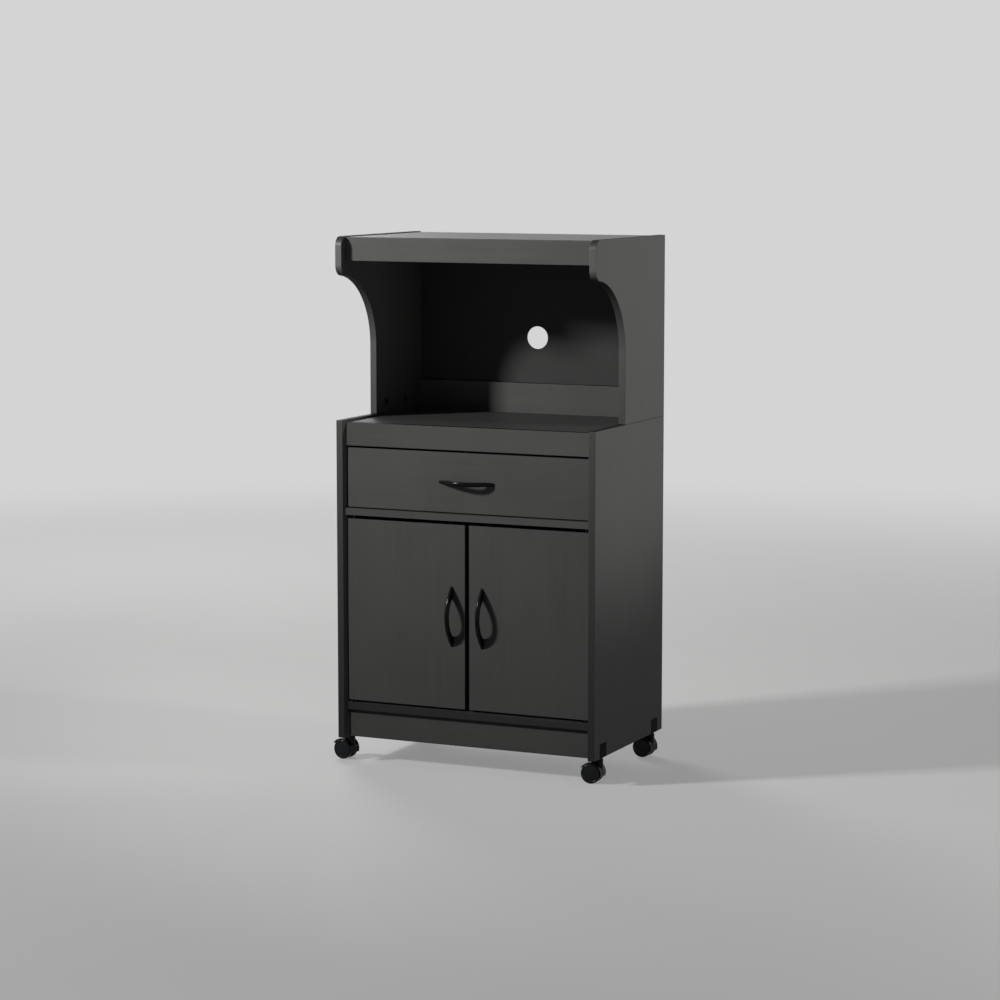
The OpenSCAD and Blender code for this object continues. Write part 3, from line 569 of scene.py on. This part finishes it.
def board_mesh(outline, axis, low, high, bores):
    """Points, faces and their finish numbers of the outline carried along an axis from low to high.
    A bore is (place in the plane, radius, depth, whether it is in the upper face)."""
    depth, inset = rim_profile(high - low)
    rows = [on_axis(shrunk(outline, i), low + d, axis) for d, i in zip(depth, inset)]
    points = [np.concatenate(rows)]
    faces = grid_faces(len(rows), len(outline), wrap_columns=True).tolist()
    kinds = [1] * len(faces)
    count = len(points[0])
    turn = np.linspace(0, 2 * np.pi, BORE_POINTS, endpoint=False)
    circle = np.stack([np.cos(turn), np.sin(turn)], axis=1)
    for upper in (False, True):
        plane = high if upper else low
        rim = shrunk(outline, inset[0])
        first = (len(rows) - 1) * len(outline) if upper else 0
        numbers = [np.arange(len(outline)) + first]
        loops = [rim]
        for middle, radius, bore_depth, side in bores:
            if side != upper:
                continue
            loop = np.array(middle) + radius * circle
            floor = plane - bore_depth if upper else plane + bore_depth
            points += [on_axis(loop, plane, axis), on_axis(loop, floor, axis)]
            walls = grid_faces(2, BORE_POINTS, wrap_columns=True) + count
            walls = walls if upper else walls[:, ::-1]
            bottom = np.arange(BORE_POINTS) + count + BORE_POINTS
            bottom = bottom if upper else bottom[::-1]
            faces += walls.tolist() + [bottom.tolist()]
            kinds += [0] * (len(walls) + 1)
            numbers.append(np.arange(BORE_POINTS) + count)
            loops.append(loop)
            count += 2 * BORE_POINTS
        triangles = np.concatenate(numbers)[fill(loops)]
        triangles = triangles if upper else triangles[:, ::-1]
        faces += triangles.tolist()
        kinds += [0] * len(triangles)
    return np.concatenate(points), faces, np.array(kinds)


print("faces of a plain slab:", len(board_mesh(square, 2, 0.0, 15 * MM, [])[1]))

# %% [markdown]
# Bores for the cam locks
#
# Each cam lock is a small dark drum flush in a board's face. The locks are nodes of the frame, many
# alike in one mesh, so their places are read from it: the points are sorted into clusters by how far
# apart the drums stand, and a board's bores are the clusters whose middle lies inside its box.

# %% Places of the cam locks
CAM_RADIUS = 7.6 * MM
CAM_DEPTH = 12.3 * MM
CAM_REACH = 25.6 * MM


def clusters(node):
    """Boxes (low, high) of the separate drums in a node: each point goes to the first point that
    stands less than the reach away, until no point is left."""
    mesh = frame["nodes"][node].data
    left = np.empty(len(mesh.vertices) * 3)
    mesh.vertices.foreach_get("co", left)
    left = left.reshape(-1, 3)
    found = []
    while len(left):
        near = np.linalg.norm(left - left[0], axis=1) < CAM_REACH
        found.append((left[near].min(axis=0), left[near].max(axis=0)))
        left = left[~near]
    return found


cams = clusters("cam_locks")
print("cam locks found:", len(cams))

# %% Bores of one board
def bores_of(low, high, axis):
    """The blind bores of a board with this box, from the cam locks that lie in it."""
    found = []
    for cam_low, cam_high in cams:
        middle = (cam_low + cam_high) / 2
        if np.all(middle > low) and np.all(middle < high):
            upper = abs(cam_high[axis] - high[axis]) < abs(cam_low[axis] - low[axis])
            place = (middle[(axis + 1) % 3], middle[(axis + 2) % 3])
            found.append((place, CAM_RADIUS, CAM_DEPTH, bool(upper)))
    return found


def box_of(node):
    """The box of a node, as two arrays."""
    low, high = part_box(node)
    return np.array(low), np.array(high)


print("bores of the worktop:", len(bores_of(*box_of("worktop"), axis=2)))

# %% A board in its node's place
def body_of(node):
    """The name of the body that a node rides on."""
    return frame["nodes"][node]["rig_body"]


def board_piece(node, axis, outline, face_finish, rim_finish):
    """The board with this outline across an axis, on its node's box, with its bores. Kind 0 is a
    flat face and kind 1 the softened rim."""
    low, high = box_of(node)
    bores = bores_of(low, high, axis)
    points, faces, kinds = board_mesh(outline, axis, low[axis], high[axis], bores)
    make_piece(node + "_board", points, faces, [face_finish, rim_finish], body_of(node),
               [node], kinds, kinds == 1)
    print(node, "faces:", len(faces), "bores:", len(bores))


print("the worktop rides on:", body_of("worktop"))

# %% [markdown]
# Straight boards
#
# Worktop, shelves, rails, toe board, drawer front and doors are plain rectangles, sawn to size and
# banded. A scaled cube would do for each, but its bevels would stretch with it. So each takes its box
# from its node, and the axis in which the box is thinnest is the one that the outline is carried
# along.

# %% Make the straight boards
CORNER = 1.5 * MM
CORNER_STEPS = 4


def straight_board(node, face_finish, rim_finish):
    """A rectangular board on its node's box."""
    low, high = box_of(node)
    axis = int(np.argmin(high - low))
    b, c = (axis + 1) % 3, (axis + 2) % 3
    corners = [(low[b], low[c]), (high[b], low[c]), (high[b], high[c]), (low[b], high[c])]
    board_piece(node, axis, arc_outline(corners, CORNER, CORNER_STEPS), face_finish, rim_finish)


straight = {
    "worktop": (shaded_worktop, banding),
    "worktop_fascia": (level, banding),
    "middle_panel": (level, level),
    "bottom_panel": (level, banding),
    "toe_kick": (level, banding),
    "cupboard_shelf": (level, banding),
    "hutch_top": (bright_top, banding),
    "hutch_fascia": (level, banding),
    "hutch_back_rail": (level, banding),
    "drawer_front": (level, banding),
    "door_left": (upright, banding),
    "door_right": (upright, banding),
}
for node, (face_finish, rim_finish) in straight.items():
    straight_board(node, face_finish, rim_finish)

# %% [markdown]
# Sides of the lower cabinet
#
# A side stands on two casters whose plastic sockets are let into its lower edge, so its outline
# has two notches with bevelled corners there. They could be cut out afterwards with a Boolean, but
# as corners of the outline they get the same soft rim as the rest. The doors and the drawer sit
# between the sides.

# %% Make the lower sides
STEM_Y = 144 * MM
NOTCH_HALF = 18.1 * MM
NOTCH_HIGH = 31.1 * MM
NOTCH_TAPER = 2 * MM


def notch(middle, z):
    """Corners of a notch from the left, open below."""
    top = z + NOTCH_HIGH
    return [(middle - NOTCH_HALF, z), (middle - NOTCH_HALF, top - NOTCH_TAPER),
            (middle - NOTCH_HALF + NOTCH_TAPER, top), (middle + NOTCH_HALF - NOTCH_TAPER, top),
            (middle + NOTCH_HALF, top - NOTCH_TAPER), (middle + NOTCH_HALF, z)]


for node in ("base_side_left", "base_side_right"):
    low, high = box_of(node)
    corners = [(low[1], low[2])] + notch(-STEM_Y, low[2]) + notch(STEM_Y, low[2])
    corners += [(high[1], low[2]), (high[1], high[2]), (low[1], high[2])]
    board_piece(node, 0, arc_outline(corners, CORNER, CORNER_STEPS), upright, banding)

# %% [markdown]
# Sides of the upper bay
#
# These are the boards that give the cabinet its look: a full-depth head over an upright that is set
# back, joined by a large concave quarter circle. The head's upper corner has a radius of 20 mm and
# the lower one 22 mm, which has to touch both the front edge and the sweep. The corner list gives
# the points where the straight runs would meet, and the arcs come from it. A Boolean with a cylinder
# could cut the sweep too, but it would leave a break where the small corner meets it. Here the two
# are tangent, so the run between them is where the line through their common point crosses.

# %% Make the upper sides
SETBACK = 160 * MM
NOSE = 83 * MM
NOSE_TOP_R = 20 * MM
NOSE_LOW_R = 22 * MM
SWEEP_START = 4 * MM
NOSE_TOP_STEPS = 24
NOSE_LOW_STEPS = 20
SWEEP_STEPS = 72


def hutch_outline(low, high):
    """Outline in (Y, Z), counterclockwise from the foot's front corner. With R the sweep's radius and
    r the small one, their common point lies on the line of centres, at the angle whose cosine is
    (r - start) / (R + r) above the sweep's centre, and the tangent there is square to that line."""
    sweep = SETBACK - SWEEP_START
    centre = np.array([low[1] + SWEEP_START, high[2] - NOSE - sweep])
    angle = math.acos((NOSE_LOW_R - SWEEP_START) / (sweep + NOSE_LOW_R))
    touch = centre + sweep * np.array([math.cos(angle), math.sin(angle)])
    tangent = np.array([math.sin(angle), -math.cos(angle)])
    on_front = touch + tangent * (low[1] - touch[0]) / tangent[0]
    on_upright = touch + tangent * (low[1] + SETBACK - touch[0]) / tangent[0]
    corners = [(low[1] + SETBACK, low[2]), (high[1], low[2]), (high[1], high[2]), (low[1], high[2]),
               tuple(on_front), tuple(on_upright)]
    radii = [CORNER, CORNER, CORNER, NOSE_TOP_R, NOSE_LOW_R, sweep]
    steps = [CORNER_STEPS] * 3 + [NOSE_TOP_STEPS, NOSE_LOW_STEPS, SWEEP_STEPS]
    return arc_outline(corners, radii, steps)


for node in ("hutch_side_left", "hutch_side_right"):
    board_piece(node, 0, hutch_outline(*box_of(node)), upright, banding)

# %% [markdown]
# Bow handles
#
# A handle is a flat bow: a thick crescent whose ends run out to points on the board. Sweeping a
# section along a bent path would leave blunt ends, so each section stands square to the board
# instead, from the inner arc to the outer one, and the height of both falls to the board at the
# ends. The section is a superellipse, between an oval and a rectangle, and what lies below the
# board's face is pressed flat against it.

# %% Outline of a bow
HANDLE_HALF = 65 * MM
HANDLE_OUT = 28 * MM
HANDLE_FOOT = 42 * MM
HANDLE_THICK = 6 * MM


def arc_height(along, half, rise):
    """Height at a place along a chord of this half length, of the arc with this rise over it. The
    radius is (half^2 + rise^2) / (2 rise), and the height is rise - radius + the root of
    radius^2 - along^2."""
    radius = (half * half + rise * rise) / (2 * rise)
    return rise - radius + np.sqrt(np.maximum(radius * radius - along * along, 0))


print("outer arc above the screws:", arc_height(48 * MM, HANDLE_HALF, HANDLE_OUT))

# %% Handle surface
HANDLE_WIDE = 10 * MM
TIP_SHARE = 0.6
FOOT_SINK = 6 * MM
ROUNDNESS = 2.7


def signed_power(value, power):
    """The power of a value's size, with the value's sign."""
    return np.sign(value) * np.abs(value) ** power


def handle_grid(rows=97, columns=40):
    """Points (along, out, across) and their grid size. With t the angle round the section and n its
    roundness, out = middle + half thickness * |cos t|^(2/n) and across = half width * |sin t|^(2/n),
    each with its sign. The half width narrows to the ends by the factor
    1 - (1 - tip share) * (along / half length)^4, and the rows crowd there."""
    along = HANDLE_HALF * np.sin(np.linspace(-np.pi / 2, np.pi / 2, rows))[:, None]
    t = np.linspace(0, 2 * np.pi, columns, endpoint=False)[None, :]
    outer = arc_height(along, HANDLE_HALF, HANDLE_OUT)
    inner = arc_height(along, HANDLE_FOOT, HANDLE_OUT - HANDLE_THICK)
    inner = np.maximum(inner, -FOOT_SINK)
    half_width = HANDLE_WIDE / 2 * (1 - (1 - TIP_SHARE) * (along / HANDLE_HALF) ** 4)
    out = (outer + inner) / 2 + (outer - inner) / 2 * signed_power(np.cos(t), 2 / ROUNDNESS)
    across = half_width * signed_power(np.sin(t), 2 / ROUNDNESS)
    out = np.maximum(out, 0)
    return np.stack([along + 0 * t, out, across], axis=-1).reshape(-1, 3), rows, columns


print("points of a handle:", len(handle_grid()[0]))

# %% Make the handles
def handle(node):
    """A handle on its node's box, along X on the drawer and along Z on a door."""
    low, high = box_of(node)
    middle = (low + high) / 2
    local, rows, columns = handle_grid()
    lengthwise = 0 if high[0] - low[0] > high[2] - low[2] else 2
    points = np.empty_like(local)
    points[:, lengthwise] = middle[lengthwise] + local[:, 0]
    points[:, 1] = high[1] - local[:, 1]
    points[:, 2 - lengthwise] = middle[2 - lengthwise] + local[:, 2]
    faces = grid_faces(rows, columns, wrap_columns=True)
    if lengthwise == 0:
        faces = faces[:, ::-1]
    ends = [np.arange(columns), np.arange(columns)[::-1] + (rows - 1) * columns]
    ends = ends if lengthwise == 0 else [end[::-1] for end in ends]
    piece = make_piece(node + "_bow", points, faces.tolist() + [end.tolist() for end in ends],
                       [handle_black], body_of(node), [node])
    print(piece.name, "faces:", len(piece.data.polygons))


for node in ("drawer_handle", "door_left_handle", "door_right_handle"):
    handle(node)

# %% [markdown]
# The wheels
#
# Each caster has two small wheels that turn on one axle. A wheel is a turned form: one outline in
# radius and depth, carried round the axle. From the axle outwards it has a blind bore, a hollow
# back, a slightly crowned tread with a round shoulder, a rim with a groove inside it, and a gently
# domed face that hides the axle's end. Its joint gives the middle and the axis, so it fits whichever
# way the caster stands.

# %% Outline of a wheel
# Each corner is its radius and its depth from the axle's middle, in millimetres.
BORE = [(0.5, 15.85), (2.55, 15.85), (2.55, 5.05), (6.0, 5.05)]
BACK = [(6.0, 9.0), (17.8, 9.0), (17.8, 5.05)]
TREAD = [(21.35, 5.05), (21.5, 10.5), (21.35, 16.25)]
FACE = [(17.0, 16.25), (16.3, 14.9), (15.0, 15.2), (10.5, 15.9), (5.5, 16.2), (0.5, 16.25)]
WHEEL_CORNERS = np.array(BORE + BACK + TREAD + FACE) * MM
WHEEL_ROUND = np.array([0, 0, 0, 0.4, 0.6, 0.6, 0.4, 0.9, 20, 3.6, 0.5, 0.4, 0.4, 25, 40, 0]) * MM
WHEEL_STEPS = [0, 0, 0, 2, 3, 3, 2, 4, 2, 10, 3, 3, 2, 3, 3, 0]
WHEEL_AROUND = 72
wheel_outline = arc_outline(WHEEL_CORNERS, WHEEL_ROUND, WHEEL_STEPS)
print("points of a wheel's outline:", len(wheel_outline), "radius:", wheel_outline[:, 0].max())

# %% Make the wheels
def wheel(joint):
    """The wheel on this joint. A point of the outline at radius r and depth d goes to
    middle + d * axis + r * (cos t * up + sin t * side), with t the angle round the axle."""
    node = joint["child"]
    middle = np.array(joint["pos_m"])
    axis = np.array(joint["axis"])
    low, high = box_of(node)
    if np.dot((low + high) / 2 - middle, axis) < 0:
        axis = -axis
    up = np.array([0.0, 0.0, 1.0])
    side = np.cross(axis, up)
    t = np.linspace(0, 2 * np.pi, WHEEL_AROUND, endpoint=False)[:, None]
    spokes = np.cos(t) * up + np.sin(t) * side
    radius, depth = wheel_outline[:, 0, None, None], wheel_outline[:, 1, None, None]
    points = middle + depth * axis + radius * spokes
    faces = grid_faces(len(wheel_outline), WHEEL_AROUND, wrap_columns=True).tolist()
    around = np.arange(WHEEL_AROUND)
    faces += [around[::-1].tolist(), (around + (len(wheel_outline) - 1) * WHEEL_AROUND).tolist()]
    return make_piece(node + "_turned", points.reshape(-1, 3), faces, [wheel_plastic],
                      node, [node])


wheels = [wheel(joint) for joint in frame["joints"] if joint["name"].endswith("_spin")]
print("wheels:", len(wheels), "faces of each:", len(wheels[0].data.polygons))

# %% [markdown]
# Nodes that keep their shape
#
# Fittings, drawer box, back panels and casters are right as they come. Each gets the finish that
# the record names for it. Their triangles are loose, so a Weld modifier joins them, a small Bevel
# softens the edges, and Weighted Normal keeps the flat faces flat while it smooths the round ones.

# %% Dress the other nodes
SOFT_EDGE = 0.3 * MM
SAME_POINT = 0.002 * MM
SHARP = math.radians(35)
FLAT_WEIGHT = 60


def dress(node, slot):
    """Weld, bevel and weighted normals on a CAD node, with the finish of its slot over it."""
    node.data.materials.clear()
    node.data.materials.append(finishes[slot])
    node.data.polygons.foreach_set("use_smooth", np.ones(len(node.data.polygons), bool))
    weld = node.modifiers.new("weld", "WELD")
    weld.merge_threshold = SAME_POINT
    bevel = node.modifiers.new("soft_edge", "BEVEL")
    bevel.width = SOFT_EDGE
    bevel.segments = 2
    bevel.limit_method = "ANGLE"
    bevel.angle_limit = SHARP
    normals = node.modifiers.new("flat_faces", "WEIGHTED_NORMAL")
    normals.weight = FLAT_WEIGHT


slot_of = {part["node"]: part["material_slot"] for part in frame["record"]["subparts"]}
shown = {name: node for name, node in frame["nodes"].items() if not node.hide_render}
for name, node in shown.items():
    dress(node, slot_of[name])
print("nodes dressed:", len(shown))

# %% [markdown]
# Floor
#
# The floor is a plain pale sheet. Seen by the camera or in a reflection it is pale, but it sends
# less light up than it seems to, so the cabinet's lower half keeps the darker tone that it has in
# the photograph. Light Path tells the two kinds of rays apart. Far out the floor takes the
# background's own tone, so no horizon shows.

# %% Finish of the floor
PALE = 0.66
FLOOR_DARK = rgb(0.34, 0.34, 0.335)
FLOOR_LIGHT = rgb(0.37, 0.37, 0.365)
FLOOR_BOUNCE = rgb(0.06, 0.06, 0.06)
FLOOR_GLOW = rgb(0.25, 0.25, 0.25)
FADE_START = 1.4
FADE_END = 5.5


def seen_directly(finish):
    """1 for rays from the camera, off gloss or through glass, and 0 for diffuse light."""
    camera_ray = finish.add("ShaderNodeLightPath", out="Is Camera Ray")
    glossy_ray = finish.add("ShaderNodeLightPath", out="Is Glossy Ray")
    through_ray = finish.add("ShaderNodeLightPath", out="Is Transmission Ray")
    return camera_ray.math("MAXIMUM", camera_ray.math("MAXIMUM", camera_ray, glossy_ray), through_ray)


def floor_finish():
    """Pale near the cabinet and the background's tone far out. With e the distance carried from the
    start to the end of the fade, the share of the background is e^2 * (3 - 2 e)."""
    finish = Finish("pale_floor")
    tone = finish.noise(scale=3.0, detail=3.0)
    seen = seen_directly(finish)
    pale = finish.blend(tone, FLOOR_DARK, FLOOR_LIGHT)
    colour = finish.blend(seen, FLOOR_BOUNCE, pale)
    glow = finish.blend(seen, BLACK, FLOOR_GLOW)
    values = {"Base Color": colour, "Roughness": 0.9, "Emission Color": glow, "Emission Strength": 1.0}
    near = finish.add("ShaderNodeBsdfPrincipled", {}, values)
    far = finish.add("ShaderNodeEmission", {}, {"Color": rgb(PALE, PALE, PALE), "Strength": 1.0})
    distance = finish.add("ShaderNodeVectorMath", {"operation": "LENGTH"}, {0: finish.place}, "Value")
    edge = finish.remap(distance, FADE_START, FADE_END)
    edge = edge * edge * (3.0 - edge * 2.0)
    return finish.end(finish.add("ShaderNodeMixShader", {}, {0: edge, 1: near, 2: far}))


pale_floor = floor_finish()
print("nodes of the floor's finish:", len(pale_floor.node_tree.nodes))

# %% Make the floor
FLOOR_HALF = 40.0
FLOOR_POINTS = 9

steps = np.linspace(-FLOOR_HALF, FLOOR_HALF, FLOOR_POINTS)
floor_x, floor_y = np.meshgrid(steps, steps)
floor_points = np.stack([floor_x, floor_y, 0 * floor_x], axis=-1).reshape(-1, 3)
floor_mesh = bpy.data.meshes.new("floor")
floor_mesh.from_pydata(floor_points.tolist(), [], grid_faces(FLOOR_POINTS, FLOOR_POINTS).tolist())
floor_mesh.materials.append(pale_floor)
floor = bpy.data.objects.new("floor", floor_mesh)
bpy.context.scene.collection.objects.link(floor)
print("floor faces:", len(floor_mesh.polygons))

# %% [markdown]
# World
#
# Around the cabinet there is nothing but an even tone. A bright world would also light the cabinet
# from all sides and wash its shadows out, so it is pale only for rays that see it directly, and
# sends out very little diffuse light.

# %% Make the world
AMBIENT = 0.03

world = bpy.data.worlds.new("studio")
bpy.context.scene.world = world
studio = Finish("studio", world)
tone = studio.remap(seen_directly(studio), low=0.0, high=1.0, new_low=AMBIENT, new_high=PALE)
background = studio.add("ShaderNodeBackground", {}, {"Color": WHITE, "Strength": tone})
studio.end(background, "ShaderNodeOutputWorld")
print("nodes of the world:", len(world.node_tree.nodes))

# %% [markdown]
# Light
#
# The photograph is lit from the front left, a little above the cabinet, and its shadows are soft
# but clear. One large lamp could do that. Here two small ones share a place, one aimed over the
# cabinet and one low with a wide spread, because the light falls off towards the floor. A spot on
# the right lights that side alone, and its cone ends above the floor, where the side is dark. A weak
# low fill on the right and a soft lamp behind keep the far edges readable.
#
# Light linking then says what a lamp reaches, and what throws a shadow in its light. The real
# fronts stand a little further forward than the frame's, so the left side of the cabinet throws
# hardly any shadow on them, although the handles' shadows show how far from the side the light
# comes. So drawer, doors and handles have the same pair of lamps once more, with the left side left
# out of what blocks them, and the rails and the toe board have a pair of their own at the front.

# %% Kinds of lamps
def aim(lamp, place, target):
    """Puts a lamp at place, turned to face target, and hides the lamp itself from the camera."""
    made = bpy.data.objects.new(lamp.name, lamp)
    made.location = place
    made.visible_camera = False
    made.rotation_euler = (Vector(target) - Vector(place)).to_track_quat("-Z", "Y").to_euler()
    bpy.context.scene.collection.objects.link(made)
    return made


def softbox(name, place, target, size, power, spread):
    """A square lamp whose light stays within the spread, in degrees, and fades towards it."""
    lamp = bpy.data.lights.new(name, "AREA")
    lamp.shape = "SQUARE"
    lamp.size = size
    lamp.energy = power
    lamp.spread = math.radians(spread)
    return aim(lamp, place, target)


def spotlight(name, place, target, radius, power, cone, blend):
    """A round lamp that lights a cone, in degrees, which ends softly over the blend, a share of it."""
    lamp = bpy.data.lights.new(name, "SPOT")
    lamp.shadow_soft_size = radius
    lamp.energy = power
    lamp.spot_size = math.radians(cone)
    lamp.spot_blend = blend
    return aim(lamp, place, target)


print("lamps before the first:", len(bpy.data.lights))

# %% Groups for light linking
DOOR_FRONTS = ["drawer_front_board", "door_left_board", "door_right_board", "drawer_handle_bow",
               "door_left_handle_bow", "door_right_handle_bow"]
RAILS = ["worktop_fascia_board", "middle_panel_board", "bottom_panel_board", "toe_kick_board"]


def group_of(name, pieces, state):
    """A collection for light linking that holds these pieces alone, with the state INCLUDE, or holds
    them out, with the state EXCLUDE."""
    group = bpy.data.collections.new(name)
    for piece in pieces:
        group.objects.link(bpy.data.objects[piece])
    for entry in group.collection_objects:
        entry.light_linking.link_state = state
    return group


beyond_fronts = group_of("beyond_fronts", DOOR_FRONTS + RAILS, "EXCLUDE")
on_doors = group_of("on_doors", DOOR_FRONTS, "INCLUDE")
on_rails = group_of("on_rails", RAILS, "INCLUDE")
without_side = group_of("without_side", ["base_side_left_board"], "EXCLUDE")
print("pieces with lamps of their own:", len(DOOR_FRONTS) + len(RAILS))

# %% Lamps in pairs
FRONT_LEFT = (-2.4, -2.25, 2.05)
FRONT = (-0.5, -3.29, 2.05)
ABOVE_CABINET = (0.0, 0.0, 2.4)
LOW_ON_CABINET = (0.0, 0.0, 0.75)
LAMP_SIZE = 0.4
HALF_SPHERE = 180.0


def pair(name, place, power, low_power):
    """Two lamps at one place: one aimed high, and one with a wide spread aimed low."""
    return [softbox(name, place, ABOVE_CABINET, LAMP_SIZE, power, spread=100.0),
            softbox(name + "_fill", place, LOW_ON_CABINET, LAMP_SIZE, low_power, HALF_SPHERE)]


for lamp in pair("key", FRONT_LEFT, power=77.0, low_power=24.0):
    lamp.light_linking.receiver_collection = beyond_fronts
for lamp in pair("door_key", FRONT_LEFT, power=77.0, low_power=24.0):
    lamp.light_linking.receiver_collection = on_doors
    lamp.light_linking.blocker_collection = without_side
for lamp in pair("rail_key", FRONT, power=53.0, low_power=13.0):
    lamp.light_linking.receiver_collection = on_rails
print("lamps at the front:", len(bpy.data.lights))

# %% Lamps at the right and behind
side_lamp = spotlight("side", (2.0, 0.16, 1.25), (0.3, 0.0, 1.1), radius=0.12, power=96.0, cone=48.0,
                      blend=0.35)
side_lamp.visible_glossy = False
softbox("right_fill", (2.5, -0.6, 0.6), (0.0, 0.0, 0.4), size=1.0, power=6.5, spread=HALF_SPHERE)
softbox("rear", (-2.6, 2.6, 2.2), (0.0, 0.0, 0.7), size=1.4, power=60.0, spread=HALF_SPHERE)
print("lamps in all:", len(bpy.data.lights))

# %% [markdown]
# Camera
#
# The camera stands where the photograph was taken from, worked out from the cabinet's own edges:
# about 6.4 m away, to the right of the front, with a long lens. Trying places by eye would leave
# the cabinet's edges a little out of line everywhere.

# %% Place the camera
LENS = 105.5
SENSOR = 36.0
FARTHEST = 200.0
CAMERA_PLACE = (2.6216, -5.6999, 1.3455)
TILT = math.radians(82.92)
HEADING = math.radians(24.73)

camera_data = bpy.data.cameras.new("camera")
camera_data.lens = LENS
camera_data.sensor_width = SENSOR
camera_data.clip_end = FARTHEST
camera = bpy.data.objects.new("camera", camera_data)
camera.location = CAMERA_PLACE
camera.rotation_euler = (TILT, 0.0, HEADING)
bpy.context.scene.collection.objects.link(camera)
bpy.context.scene.camera = camera
bpy.context.scene.view_settings.view_transform = "Standard"
print("camera stands", round(Vector(CAMERA_PLACE).length, 2), "m from the cabinet's foot")

# %% [markdown]
